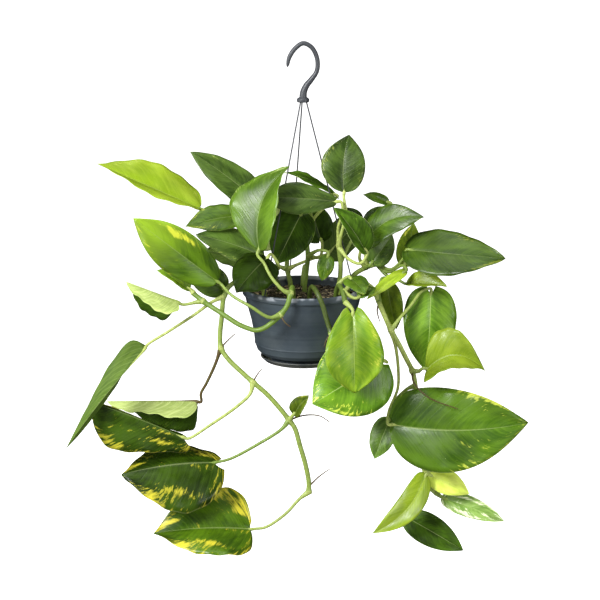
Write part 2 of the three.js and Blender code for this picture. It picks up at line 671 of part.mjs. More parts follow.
    name: "shoot_right",
    path: [[44, 0, -298], [46, -4, -280], [46, -10, -262], [44, -14, -244]],
    leaves: [
      { base: [50, -18, -175], tip: [56, -2, -107], face: [0, -1, 0.2], width: 55, fold: 10,
        bend: 4, full: 1.25, lobe: 0, from: [44, -14, -244], via: [[46, -24, -228], [52, -24, -200]] },
      { base: [40, -30, -185], tip: [-47, -37, -179], face: [0, -0.85, 0.5], width: 42, fold: 6,
        full: 1.8, arch: 0.05, lobe: 0, from: [44, -14, -244], via: [[43, -20, -218], [48, -28, -200]] },
      { base: [74, -46, -240], tip: [37, -50, -189], face: [0.5, -0.8, 0.3], width: 44, fold: 40,
        from: [44, -14, -244], via: [[56, -30, -256], [70, -44, -258]] },
    ],
    buds: [
      { base: [70, 8, -216], tip: [48, 14, -200], face: [0, -0.8, 0.5], width: 20, fold: 10,
        from: [46, -10, -262], via: [[58, 0, -242], [68, 8, -226]] },
    ],
  },
  {
    name: "shoot_far_right",
    path: [[56, 18, -298], [64, 16, -284], [78, 10, -274], [92, 4, -268]],
    leaves: [
      { base: [76, -20, -236], tip: [146, -42, -202], face: [0.1, -0.8, 0.6], width: 44, fold: 10,
        bend: 12, lobe: 0.02,
        from: [78, 10, -274], via: [[70, 3, -262], [71, -10, -247]] },
      { base: [86, -10, -262], tip: [110, 0, -230], face: [0.1, -1, 0.1], width: 34, fold: 8,
        from: [78, 10, -274], via: [[80, -4, -271]] },
      { base: [132, -26, -245], tip: [243, -62, -249], face: [0.1, -0.75, 0.65], width: 66, fold: 8,
        bend: -5,
        from: [92, 4, -268], via: [[108, -12, -272], [124, -22, -254]] },
      { base: [127, 12, -268], tip: [138, 24, -220], face: [0, -1, 0.15], width: 30, fold: 8,
        from: [92, 4, -268], via: [[106, 8, -277], [120, 9, -283]] },
      { base: [130, -22, -288], tip: [175, -44, -287], face: [0, -0.6, 0.8], width: 34, fold: 38,
        from: [92, 4, -268], via: [[102, -4, -280], [120, -16, -286]] },
    ],
    buds: [
      { base: [122, -32, -272], tip: [76, -60, -300], face: [0, -0.8, 0.6], width: 16, fold: 20,
        from: [92, 4, -268], via: [[104, -8, -276], [122, -22, -265]] },
      { base: [80, 12, -219], tip: [105, 18, -199], face: [0, -1, 0.3], width: 24, fold: 12,
        from: [78, 10, -274], via: [[77, 10, -240]] },
      { base: [104, 26, -194], tip: [74, 20, -184], face: [0, -0.8, 0.6], width: 16, fold: 20,
        from: [78, 10, -274], via: [[88, 18, -240], [102, 26, -204]] },
    ],
  },
  {
    name: "vine_back",
    path: [[0, 46, -298], [2, 62, -284], [3, 80, -288], [2, 88, -304], [-2, 90, -330], [2, 88, -352]],
    knots: [[2, 88, -304], [-2, 90, -330]],
    leaves: [
      { base: [-22, 94, -310], tip: [-44, 104, -378], face: [-0.1, 1, 0.3], width: 60, fold: 8,
        from: [2, 88, -304], via: [[-10, 92, -302]] },
      { base: [24, 94, -330], tip: [40, 104, -384], face: [0.1, 1, 0.3], width: 54, fold: 8,
        from: [-2, 90, -330], via: [[10, 93, -322]] },
    ],
  },
  {
    name: "shoot_back",
    path: [[-16, 36, -298], [-20, 40, -282], [-20, 44, -268]],
    leaves: [
      { base: [-34, 58, -252], tip: [-60, 86, -198], face: [-0.2, 0.8, 0.5], width: 58, fold: 8,
        from: [-20, 44, -268], via: [[-27, 52, -260]] },
      { base: [34, 58, -262], tip: [78, 84, -224], face: [0.2, 0.8, 0.5], width: 54, fold: 8,
        from: [-20, 40, -282], via: [[-4, 48, -276], [22, 56, -268]] },
      { base: [-62, 46, -276], tip: [-126, 64, -262], face: [-0.1, 0.8, 0.6], width: 50, fold: 8,
        from: [-20, 40, -282], via: [[-34, 44, -278]] },
    ],
  },
];

// ---- the whole object ----
addMesh("hook", hookGeometry(), "hanger");
STRAND_ANGLES.forEach((angle, i) => addMesh(`strand_${i + 1}`, strandGeometry(angle), "hanger"));
addMesh("pot", potGeometry(), "plastic");
addMesh("drip_tray", trayGeometry(), "plastic");
addMesh("soil", soilGeometry(STEMS), "soil");
for (const stem of STEMS) {
  addMesh(stem.name, stemGeometry(stem), "stem");
  stem.leaves.forEach((leaf, i) => addMesh(`${stem.name}_leaf_${i + 1}`, bladeGeometry(leaf), "leaf"));
}

export default plant;
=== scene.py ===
"""A trailing golden pothos in a hanging nursery pot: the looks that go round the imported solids.

Lengths are written in millimetres, as in the part's source, and turned into metres when a mesh is
made. +Z is up, the viewer stands on the -Y side and the origin is the seat inside the hook.
"""

import math
import random

import bpy
import numpy as np
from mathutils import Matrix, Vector, noise


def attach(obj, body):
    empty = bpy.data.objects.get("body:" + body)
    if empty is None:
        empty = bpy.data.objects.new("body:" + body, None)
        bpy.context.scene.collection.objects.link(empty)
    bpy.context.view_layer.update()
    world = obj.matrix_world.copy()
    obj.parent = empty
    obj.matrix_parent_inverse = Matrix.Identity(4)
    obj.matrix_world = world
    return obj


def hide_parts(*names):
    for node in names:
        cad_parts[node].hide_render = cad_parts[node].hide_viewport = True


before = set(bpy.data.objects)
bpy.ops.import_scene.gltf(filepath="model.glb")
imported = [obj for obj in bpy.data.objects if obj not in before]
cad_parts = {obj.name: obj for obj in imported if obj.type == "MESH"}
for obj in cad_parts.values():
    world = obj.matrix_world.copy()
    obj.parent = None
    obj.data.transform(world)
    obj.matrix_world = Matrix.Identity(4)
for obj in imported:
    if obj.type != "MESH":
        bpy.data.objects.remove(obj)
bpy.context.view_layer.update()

MM = 0.001
random.seed(11)

# ---- sizes of the pot, tray and hanger, as in the part's source ----
RIM_Z = -296
RIM_RADIUS = 75
WALL = 1.8
LIP_HEIGHT = 9
LIP_DEPTH = 2.4
POT_BOTTOM = -380.5
FOOT_RADIUS = 40
FOOT_WIDTH = 3
FOOT_HEIGHT = 7
TRAY_RADIUS = 53
TRAY_FOOT_RADIUS = 44
TRAY_HEIGHT = 7.6
TRAY_WALL = 1.6
PEG_RADIUS = 5
PEG_HEAD_RADIUS = 6.6
DRAIN_COUNT = 5
DRAIN_RADIUS = 3.5
DRAIN_RING = 24
SOIL_EDGE = -309
SOIL_CROWN = -304
GAP = 0.3
HOOK_RADIUS = 2.8
HOOK_NECK_RADIUS = 4.6
HOOK_STEP = 1.2
HOOK_SIDES = 20
COLLAR_RADIUS = 7.6
COLLAR_TOP = -62
COLLAR_HEIGHT = 6
STRAND_RADIUS = 0.9
STRAND_TOP_RING = 4
STRAND_ANGLES = (225, 105, 345)
LUG_RING = 66.5
LUG_SIZE = 8
LUG_THICKNESS = 3
LUG_Z = RIM_Z - 5
LUG_HOLE_RADIUS = 1.7
KNOB_RADIUS = 2.6
KNOB_HEIGHT = 2.4
LATHE_SIDES = 128

# ---- the soil's loose top ----
SOIL_RADIUS = 69.2
SOIL_RINGS = 44
SOIL_SPOKES = 96
SOIL_BITS = 420
SOIL_THREADS = 26
BIT_LIMIT = 68.6
THREAD_RADIUS = 0.35

# ---- sizes of the plant ----
STEM_FOOT = -330
STEM_RADIUS = 3
STEM_TONE = 0.2
STEM_STEP = 2.2
STEM_SIDES = 14
PETIOLE_RADIUS = 2
PETIOLE_STEP = 2.4
PETIOLE_SIDES = 12
ROOT_RADIUS = 1.1
ROOT_STEP = 1.6
ROOT_SIDES = 8
BLADE_THICKNESS = 0.6
BLADE_EDGE = 0.25
BLADE_GRID = (34, 18)
BUD_GRID = (16, 8)
BLADE_FOLD = 12
BLADE_ARCH = 0.06
BLADE_LOBE = 0.1
BLADE_CUP = 0.12
BLADE_WAVE = 0.03
BLADE_PINCH = 0.5
BLADE_QUILT = 0.35
GROOVE_DEPTH = 0.7
GROOVE_HALF = 1.3
RIB_DEPTH = 1.5
RIB_HALF = 1.6
VEIN_PAIRS = 12
VEIN_SLANT = 0.3


# ---- the stems and their leaves: places in millimetres, angles in degrees ----
def leaf(look, base, tip, face, width, at, **more):
    """A leaf or bud: its look, the ends of its blade, the way its upper side faces, its width, and where
    its stalk starts. more bends the blade, leads the stalk via other points, or sets a tone or a seed."""
    return dict(look=look, base=base, tip=tip, face=face, width=width, at=at, **more)


# A whole number in place of a point means that point of the stem's own path.
STEMS = {}
STEMS["vine_front"] = dict(
    tone=0,
    path=[(-12, -45, -298), (-13, -62, -284), (-15, -80, -288), (-19, -84, -302), (-27, -84, -313),
        (-36, -83, -322), (-47, -82, -330), (-57, -80, -333), (-66, -78, -331), (-77, -75, -327),
        (-88, -71, -321), (-98, -67, -315), (-109, -62, -309), (-121, -57, -302), (-132, -53, -294)],
    knots=[2, 4, 13],
    roots=[[4, (-22, -88, -321), (-15, -89, -327)]],
    leaves=[
        leaf("sheen", (-53, -55, -239), (-16, -42, -140), (-0.57, -0.82, 0.1), 84, 2, fold=24, twist=-25,
            bend=15, full=1.25, lobe=0, tone=0.88, via=[(-24, -84, -283), (-38, -79, -268),
            (-47, -68, -253)]),
        leaf("fresh", (-103, -66, -276), (-201, -80, -197), (-0.25, -0.9, 0.35), 57, 4, fold=14,
            full=1.35, lobe=0, via=[(-40, -90, -315), (-62, -90, -302), (-86, -78, -290)]),
        leaf("folded_painted_shade", (-151, -58, -304), (-211, -78, -274), (0.1, -0.52, -0.85), 70, 13, fold=52, arch=0,
            twist=-42, full=0.72, lobe=0, tone=1.4, via=[(-130, -56, -304)]),
    ],
    buds=[
        leaf("spring", (-140, -52, -287), (-176, -57, -264), (0, -0.6, 0.8), 26, 14, fold=35),
    ],
)
STEMS["vine_left"] = dict(
    path=[(-48, -18, -298), (-60, -22, -284), (-78, -32, -282), (-90, -40, -288), (-96, -45, -299),
        (-99, -46, -326), (-101, -47, -345), (-100, -49, -362), (-91, -54, -375), (-73, -61, -391),
        (-61, -65, -401), (-44, -69, -415), (-28, -73, -432), (-17, -75, -446), (-10, -76, -456),
        (-4, -76, -477), (3, -76, -502), (7, -76, -524), (7, -76, -539)],
    knots=[7, 10, 13, (7, -76, -537)],
    roots=[[7, (-92, -55, -352), (-82, -58, -342)], [10, (-55, -69, -390), (-50, -70, -383)],
        [13, (2, -82, -438), (20, -85, -438), (33, -86, -446)],
        [(7, -76, -530), (20, -79, -516), (33, -80, -506)]],
    leaves=[
        leaf("mid", (-192, -60, -360), (-278, -158, -458), (-0.8, 0.57, 0.18), 47, 4, fold=55, arch=0.02,
            twist=62, full=0.43, lobe=0.02, under="green", tone=1.15, via=[(-110, -48, -305),
            (-133, -52, -321), (-165, -57, -341)]),
        leaf("folded_painted_shade", (-132, -32, -435), (-242, -36, -433), (0, -0.7, -0.71), 90, 7, fold=54, arch=0,
            twist=-32, full=0.48, lobe=0.02, tone=1.15, stalk=0.95, via=[(-108, -46, -385),
            (-119, -38, -410), (-126, -34, -424)]),
        leaf("marbled", (-145, -86, -464), (-256, -100, -416), (0.42, -0.52, 0.72), 84, 10, fold=-42,
            arch=0.02, full=2, lobe=0.12, tone=1.1, seed=4, via=[(-64, -70, -414), (-80, -74, -429),
            (-112, -82, -450)]),
        leaf("marbled", (-108, -80, -498), (-219, -108, -505), (0, -0.6, 0.8), 112, 13, fold=-22,
            full=1.1, seed=6, via=[(-26, -80, -456), (-54, -82, -474), (-88, -81, -493)]),
        leaf("splashed", (-65, -84, -582), (-182, -104, -581), (0, -0.62, 0.78), 110, (7, -76, -537),
            fold=23, full=0.85, lobe=0.02, tone=0.96, seed=6, via=[(-4, -78, -545), (-22, -81, -564),
            (-46, -83, -580)]),
        leaf("deep", (-98, -34, -291), (-143, -36, -262), (-0.1, -0.95, 0.3), 38, 4, fold=8, tone=1.5),
    ],
    buds=[
        leaf("olive", (-10, -82, -435), (7, -89, -411), (-0.3, -0.8, 0.5), 24, 13, fold=30,
            via=[(-14, -80, -441)]),
    ],
)
STEMS["vine_front_right"] = dict(
    tone=-0.28,
    path=[(8, -42, -298), (11, -60, -284), (18, -79, -290), (24, -83, -304), (28, -85, -318),
        (34, -89, -335), (40, -94, -346)],
    knots=[5],
    roots=[[5, (28, -92, -342), (25, -92, -351)]],
    leaves=[
        leaf("flecked", (92, -76, -374), (11, -97, -420), (-0.1, -1, 0.15), 98, 6, fold=-6, tone=2.2,
            via=[(56, -98, -352), (86, -95, -363), (101, -82, -372)]),
    ],
)
STEMS["shoot_front_right"] = dict(
    tone=-0.15,
    path=[(40, -38, -298), (43, -52, -284), (47, -72, -286), (50, -86, -297)],
    leaves=[
        leaf("spring", (59, -94, -311), (61, -114, -402), (0.1, -1, 0.25), 74, 3, fold=14, full=1.7),
        leaf("mid", (58, -56, -275), (74, -86, -288), (0.1, -0.6, 0.8), 30, 1, tone=0.9,
            via=[(47, -52, -278)]),
    ],
    buds=[
        leaf("mid", (68, -76, -292), (88, -66, -284), (0, -0.5, 0.9), 20, 2, fold=20,
            via=[(58, -77, -293)]),
    ],
)
STEMS["vine_right"] = dict(
    tone=0.35,
    path=[(52, -20, -298), (66, -26, -284), (84, -38, -290), (92, -46, -306), (99, -50, -322),
        (107, -50, -340), (116, -50, -356), (125, -48, -374), (134, -42, -393), (139, -28, -415),
        (142, -26, -445), (144, -24, -478), (147, -22, -505), (153, -20, -530), (158, -20, -548),
        (166, -19, -556)],
    knots=[5, 8, 12, 14],
    roots=[[3, (90, -49, -316), (93, -50, -329)],
        [8, (135, -52, -404), (152, -64, -420), (188, -72, -433)]],
    leaves=[
        leaf("mid", (157, -18, -301), (152, -28, -397), (0.1, -1, 0.1), 68, 5, fold=8, tone=1.85,
            via=[(116, -46, -328), (132, -34, -312), (146, -22, -297)]),
        leaf("lime", (152, -50, -388), (221, -66, -387), (0.1, -0.75, 0.6), 82, 8, fold=38, arch=0.16,
            bend=14, full=0.65, lobe=0.04, tone=0.66, via=[(142, -46, -392)]),
        leaf("flecked", (111, -46, -460), (275, -68, -451), (0.05, -0.95, 0.25), 106, 5, fold=7, bend=-8,
            lobe=0.03, tone=1.25, via=[(113, -48, -362), (117, -38, -392), (117, -27, -420),
            (106, -32, -448)]),
        leaf("deep", (107, -24, -462), (89, -34, -508), (-0.3, -0.9, 0.2), 34, 9, fold=10, tone=2.2,
            via=[(128, -22, -422), (113, -19, -440)]),
        leaf("lime", (152, -42, -527), (86, -60, -596), (-0.2, -0.9, 0.4), 34, 12, bend=12, lobe=0.02,
            tone=0.75, via=[(157, -26, -510), (162, -37, -517)]),
        leaf("pale", (161, -28, -532), (207, -42, -551), (0.1, -0.8, 0.6), 34, 13, fold=10, tone=1.4),
        leaf("striped_and_painted_sheen", (181, -23, -564), (252, -38, -588), (0.1, -0.85, 0.5), 29, 15, fold=10, tone=1.5),
        leaf("dark", (135, -18, -592), (202, -34, -628), (0, -0.9, 0.4), 41, 14, tone=2.4,
            via=[(150, -9, -566), (134, -5, -582), (124, -10, -590)]),
    ],
    buds=[
        leaf("olive", (102, -30, -285), (115, -26, -344), (-0.3, -1, 0.1), 34, 3, fold=10, lobe=0,
            via=[(92, -38, -292), (96, -33, -279)]),
    ],
)
STEMS["shoot_left"] = dict(
    tone=-0.25,
    path=[(-30, 12, -298), (-38, 10, -284), (-52, 8, -268), (-60, 6, -250)],
    leaves=[
        leaf("lime", (-127, 12, -200), (-251, -6, -142), (0, -0.45, 0.9), 74, 3, fold=30, arch=0,
            full=1.1, lobe=0, tone=0.92, via=[(-74, 8, -238), (-102, 12, -214)]),
        leaf("deep", (-52, 26, -197), (-139, 22, -131), (0, -0.8, 0.6), 46, 3, fold=10, lobe=0, tone=1.2,
            via=[(-49, 24, -230), (-39, 30, -210)]),
        leaf("mid", (-76, -8, -206), (-143, -28, -216), (-0.1, -0.7, 0.7), 42, 3, tone=0.85,
            via=[(-65, -2, -230)]),
        leaf("deep", (-54, -18, -252), (-130, -38, -224), (0, -0.8, 0.6), 44, 1, fold=8, tone=1.3,
            via=[(-44, -8, -272)]),
        leaf("shaded", (-43, -50, -250), (-80, -76, -288), (-0.3, -0.8, 0.55), 60, 1, fold=0, lobe=0,
            tone=0.48, via=[(-34, -12, -274), (-29, -40, -262)]),
    ],
)
STEMS["shoot_centre"] = dict(
    tone=0.1,
    path=[(2, 6, -298), (4, 4, -280), (6, 2, -258), (4, 4, -236)],
    leaves=[
        leaf("dark", (-3, -8, -205), (-33, -26, -263), (0.1, -0.9, 0.45), 54, 3, fold=6, tone=2.2,
            via=[(10, 4, -216), (8, 0, -201)]),
        leaf("dark", (22, 24, -240), (7, 30, -193), (0, -1, 0.2), 42, 2, fold=10, tone=1.3,
            via=[(21, 14, -261)]),
        leaf("dark", (38, 18, -183), (-24, -4, -153), (0, -0.25, 1), 42, 3, fold=10, tone=3.2,
            via=[(14, 12, -212), (34, 18, -193)]),
    ],
    buds=[
        leaf("mid", (30, -12, -257), (23, -18, -285), (0, -1, 0.1), 22, 2, via=[(20, -6, -249)]),
        leaf("dark", (0, 0, -196), (-30, -12, -192), (0, -0.5, 0.9), 18, 3, fold=20, via=[(8, 4, -208)]),
    ],
)
STEMS["shoot_right"] = dict(
    path=[(44, 0, -298), (46, -4, -280), (46, -10, -262), (44, -14, -244)],
    leaves=[
        leaf("deep", (50, -18, -175), (56, -2, -107), (0, -1, 0.2), 55, 3, fold=10, bend=4, full=1.25,
            lobe=0, tone=0.9, via=[(46, -24, -228), (52, -24, -200)]),
        leaf("deep", (40, -30, -185), (-47, -37, -179), (0, -0.85, 0.5), 42, 3, fold=6, arch=0.05,
            full=1.8, lobe=0, tone=0.95, via=[(43, -20, -218), (48, -28, -200)]),
        leaf("dark", (74, -46, -240), (37, -50, -189), (0.5, -0.8, 0.3), 44, 3, fold=40, tone=3,
            via=[(56, -30, -256), (70, -44, -258)]),
    ],
    buds=[
        leaf("dark", (70, 8, -216), (48, 14, -200), (0, -0.8, 0.5), 20, 2, fold=10, via=[(58, 0, -242),
            (68, 8, -226)]),
    ],
)
STEMS["shoot_far_right"] = dict(
    path=[(56, 18, -298), (64, 16, -284), (78, 10, -274), (92, 4, -268)],
    leaves=[
        leaf("mid", (76, -20, -236), (146, -42, -202), (0.1, -0.8, 0.6), 44, 2, fold=10, bend=12,
            lobe=0.02, tone=0.75, via=[(70, 3, -262), (71, -10, -247)]),
        leaf("deep", (86, -10, -262), (110, 0, -230), (0.1, -1, 0.1), 34, 2, fold=8, tone=1.3,
            via=[(80, -4, -271)]),
        leaf("mid", (132, -26, -245), (243, -62, -249), (0.1, -0.75, 0.65), 66, 3, fold=8, bend=-5,
            tone=0.58, via=[(108, -12, -272), (124, -22, -254)]),
        leaf("olive", (127, 12, -268), (138, 24, -220), (0, -1, 0.15), 30, 3, fold=8, tone=2.4,
            via=[(106, 8, -277), (120, 9, -283)]),
        leaf("lime", (130, -22, -288), (175, -44, -287), (0, -0.6, 0.8), 34, 3, fold=38, tone=0.7,
            via=[(102, -4, -280), (120, -16, -286)]),
    ],
    buds=[
        leaf("lime", (122, -32, -272), (76, -60, -300), (0, -0.8, 0.6), 16, 3, fold=20,
            via=[(104, -8, -276), (122, -22, -265)]),
        leaf("dark", (80, 12, -219), (105, 18, -199), (0, -1, 0.3), 24, 2, via=[(77, 10, -240)]),
        leaf("mid", (104, 26, -194), (74, 20, -184), (0, -0.8, 0.6), 16, 2, fold=20, via=[(88, 18, -240),
            (102, 26, -204)]),
    ],
)
STEMS["vine_back"] = dict(
    path=[(0, 46, -298), (2, 62, -284), (3, 80, -288), (2, 88, -304), (-2, 90, -330), (2, 88, -352)],
    knots=[3, 4],
    leaves=[
        leaf("mid", (-22, 94, -310), (-44, 104, -378), (-0.1, 1, 0.3), 60, 3, fold=8,
            via=[(-10, 92, -302)]),
        leaf("deep", (24, 94, -330), (40, 104, -384), (0.1, 1, 0.3), 54, 4, fold=8, via=[(10, 93, -322)]),
    ],
)
STEMS["shoot_back"] = dict(
    path=[(-16, 36, -298), (-20, 40, -282), (-20, 44, -268)],
    leaves=[
        leaf("deep", (-34, 58, -252), (-60, 86, -198), (-0.2, 0.8, 0.5), 58, 2, fold=8,
            via=[(-27, 52, -260)]),
        leaf("mid", (34, 58, -262), (78, 84, -224), (0.2, 0.8, 0.5), 54, 1, fold=8, under="green",
            via=[(-4, 48, -276), (22, 56, -268)]),
        leaf("deep", (-62, 46, -276), (-126, 64, -262), (-0.1, 0.8, 0.6), 50, 1, fold=8, under="green",
            tone=0.9, via=[(-34, 44, -278)]),
    ],
)


# ---- colours, as sRGB values from 0 to 255 ----
def srgb(*values):
    """The linear colour of a red, green and blue."""
    shares = [value / 255 for value in values]
    linear = [share / 12.92 if share <= 0.04045 else ((share + 0.055) / 1.055) ** 2.4 for share in shares]
    return (*linear, 1)


def look(dark, light, streak, broad, fleck, outward=0.0, gloss=0.35, tip=None):
    """A leaf's look: the two greens that cloud it, the streaks' colour, how much of the blade the broad
    streaks and the fine flecks take, how far they keep to its tip, its gloss, and the lighter green it
    fades to towards its tip, which is painted light."""
    return dict(dark=srgb(*dark), light=srgb(*light), streak=srgb(*streak), broad=broad, fleck=fleck,
                outward=outward, gloss=gloss, tip=tip and srgb(*tip))


LOOKS = {
    "lime": look((136, 166, 28), (170, 196, 52), (206, 212, 96), 0, 0.1),
    "spring": look((92, 132, 20), (136, 168, 38), (214, 216, 84), 0.1, 0.15),
    # fresh: its lighter tip green is painted light on that end of the blade
    "fresh": look((56, 88, 12), (98, 134, 24), (206, 212, 60), 0.25, 0.3, tip=(144, 178, 40)),
    "sheen": look((74, 108, 22), (108, 144, 40), (186, 206, 120), 0.1, 0.5, outward=0.2),
    "mid": look((60, 92, 16), (98, 132, 32), (206, 212, 84), 0, 0.3, outward=0.25),
    "deep": look((46, 68, 20), (82, 108, 40), (170, 184, 86), 0, 0.25),
    # shaded: a darker copy of the greens with little gloss, painted shade for a leaf that lies in shadow
    "shaded": look((34, 52, 8), (56, 82, 16), (88, 112, 36), 0, 0.05, gloss=0.06),
    "dark": look((26, 42, 6), (48, 72, 12), (88, 112, 36), 0, 0.05, gloss=0.2),
    "olive": look((62, 84, 12), (98, 118, 24), (206, 208, 76), 0.12, 0.3, outward=0.3),
    "pale": look((180, 198, 70), (204, 218, 100), (222, 230, 150), 0, 0.1),
    # striped leaves: whitish streaks over most of the blade, partly variegation and partly a painted silvery
    # sheen
    "striped_and_painted_sheen": look((86, 118, 44), (130, 160, 80), (222, 228, 190), 0.9, 0.9),
    "marbled": look((28, 46, 4), (58, 84, 12), (218, 208, 60), 0.5, 0.9),
    "splashed": look((44, 72, 6), (84, 118, 16), (226, 214, 60), 0.7, 0.8),
    "flecked": look((52, 84, 12), (84, 118, 24), (206, 216, 80), 0.16, 0.6, outward=0.3),
    # folded leaves: a darker copy of the greens, painted shade for the folded half that lies in shadow
    "folded_painted_shade": look((34, 54, 6), (58, 86, 16), (120, 140, 50), 0, 0.05),
}
# Of each underside: its material's name, its darker and lighter green and its veins' colour
UNDERSIDES = {
    "pale": ("leaf_underside", (140, 160, 80), (184, 200, 120), (214, 222, 166)),
    # green: a darker copy of the underside's greens, painted shade for undersides that lie in shadow
    "green": ("leaf_underside_painted_shade", (62, 88, 22), (92, 118, 40), (140, 160, 90)),
}


# ---- meshes ----
def add_object(name, data):
    """A new object in the scene."""
    piece = bpy.data.objects.new(name, data)
    bpy.context.scene.collection.objects.link(piece)
    return piece


def make_mesh(name, points, faces, slots=None, smooth=True):
    """A mesh object from points in millimetres."""
    mesh = bpy.data.meshes.new(name)
    mesh.from_pydata([tuple(float(value) * MM for value in point) for point in points], [], faces)
    mesh.polygons.foreach_set("use_smooth", [smooth] * len(mesh.polygons))
    if slots is not None:
        mesh.polygons.foreach_set("material_index", slots)
    mesh.update()
    return add_object(name, mesh)


def set_float(piece, name, values):
    """Stores a number for each point, for the shaders to read."""
    layer = piece.data.attributes.new(name, "FLOAT", "POINT")
    layer.data.foreach_set("value", np.asarray(values, np.float32))


def set_uv(piece, places):
    """Stores a place on the surface for each point, as the UV map."""
    layer = piece.data.uv_layers.new(name="UVMap")
    corners = np.zeros(len(piece.data.loops), np.int32)
    piece.data.loops.foreach_get("vertex_index", corners)
    layer.data.foreach_set("uv", np.asarray(places, np.float32)[corners].ravel())


def dress(piece, materials, replaced=()):
    """Gives a piece its materials, its place on the only body and the nodes that it stands for."""
    for material in materials:
        piece.data.materials.append(material)
    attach(piece, "root")
    if replaced:
        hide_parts(*replaced)


def toned(shape, tone):
    """A part for joined: the points and faces of a shape, and the same tone for each point."""
    points, faces = shape
    return points, faces, [tone] * len(points)


def joined(name, parts):
    """One mesh object from several (points, faces, tones) parts."""
    points, faces, tones = [], [], []
    for part_points, part_faces, part_tones in parts:
        start = len(points)
        points.extend(part_points)
        faces.extend([tuple(start + i for i in face) for face in part_faces])
        tones.extend(part_tones)
    piece = make_mesh(name, points, faces)
    set_float(piece, "tone", tones)
    return piece


def curve_points(points, step):
    """Points at most step apart along a centripetal Catmull-Rom curve through the given points."""
    points = [np.array(point, float) for point in points]
    ends = [2 * points[0] - points[1]] + points + [2 * points[-1] - points[-2]]
    line = []
    for p0, p1, p2, p3 in zip(ends, ends[1:], ends[2:], ends[3:]):
        d0, d1, d2 = (np.linalg.norm(b - a) ** 0.5 for a, b in ((p0, p1), (p1, p2), (p2, p3)))
        m1 = ((p1 - p0) / d0 - (p2 - p0) / (d0 + d1) + (p2 - p1) / d1) * d1
        m2 = ((p2 - p1) / d1 - (p3 - p1) / (d1 + d2) + (p3 - p2) / d2) * d1
        square, cube = 3 * (p2 - p1) - 2 * m1 - m2, 2 * (p1 - p2) + m1 + m2
        count = max(1, math.ceil(np.linalg.norm(p2 - p1) / step))
        for i in range(count):
            t = i / count
            line.append(p1 + m1 * t + square * t * t + cube * t**3)
    line.append(points[-1])
    return line


def turned(x, y, turn):
    """A place seen from above, turned about the vertical axis."""
    return x * math.cos(turn) - y * math.sin(turn), x * math.sin(turn) + y * math.cos(turn)


def circle(radius, count, height=0):
    """Points of a level ring round the vertical axis."""
    return [(*turned(radius, 0, 2 * math.pi * k / count), height) for k in range(count)]


def ring_point(angle, radius, height):
    return (*turned(radius, 0, math.radians(angle)), height)


def skin(rings, closed=False):
    """Points and faces of a surface over rings of points. A ring of one point closes it to a tip."""
    points, numbers = [], []
    sides = max(len(ring) for ring in rings)
    for ring in rings:
        start = len(points)
        points.extend(ring)
        numbers.append(list(range(start, start + sides)) if len(ring) > 1 else [start] * sides)
    faces = []
    for low, high in zip(numbers, numbers[1:] + (numbers[:1] if closed else [])):
        corners = zip(low, low[1:] + low[:1], high[1:] + high[:1], high)
        faces.extend([tuple(dict.fromkeys(face)) for face in corners])
    return points, faces


def tube(line, radii, sides):
    """Points and faces of a closed round tube along a line. radii is one radius, or one for each point."""
    line = np.array(line)
    ways = np.gradient(line, axis=0)
    ways /= np.linalg.norm(ways, axis=1)[:, None]
    across = np.cross(ways[0], (0, 0, 1) if abs(ways[0][2]) < 0.9 else (1, 0, 0))
    rings = []
    for centre, way, radius in zip(line, ways, np.broadcast_to(radii, len(line))):
        across = across - way * np.dot(across, way)
        across /= np.linalg.norm(across)
        other = np.cross(way, across)
        rings.append([centre + radius * (x * across + y * other) for x, y, _ in circle(1, sides)])
    points, faces = skin(rings)
    faces.append(tuple(range(sides))[::-1])
    faces.append(tuple(range(len(points) - sides, len(points))))
    return points, faces


def lathe(profile, sides=LATHE_SIDES):
    """Points and faces of a profile turned about the vertical axis. It runs up the outside."""
    rings = [circle(radius, sides if radius > 1e-6 else 1, height) for radius, height in profile]
    return skin(rings, closed=profile[0][0] > 1e-6)


def rounded(profile, radius, closed=False):
    """The profile with each corner cut back by up to radius and filled with a short arc."""
    points = [np.array(point, float) for point in profile]
    result = []
    for i, corner in enumerate(points):
        if not closed and i in (0, len(points) - 1):
            result.append(tuple(corner))
            continue
        back, onward = points[i - 1] - corner, points[(i + 1) % len(points)] - corner
        reach = min(radius, np.linalg.norm(back) * 0.4, np.linalg.norm(onward) * 0.4)
        start = corner + back / np.linalg.norm(back) * reach
        end = corner + onward / np.linalg.norm(onward) * reach
        for t in (0, 0.33, 0.67, 1):
            result.append(tuple((1 - t) ** 2 * start + 2 * t * (1 - t) * corner + t * t * end))
    return result


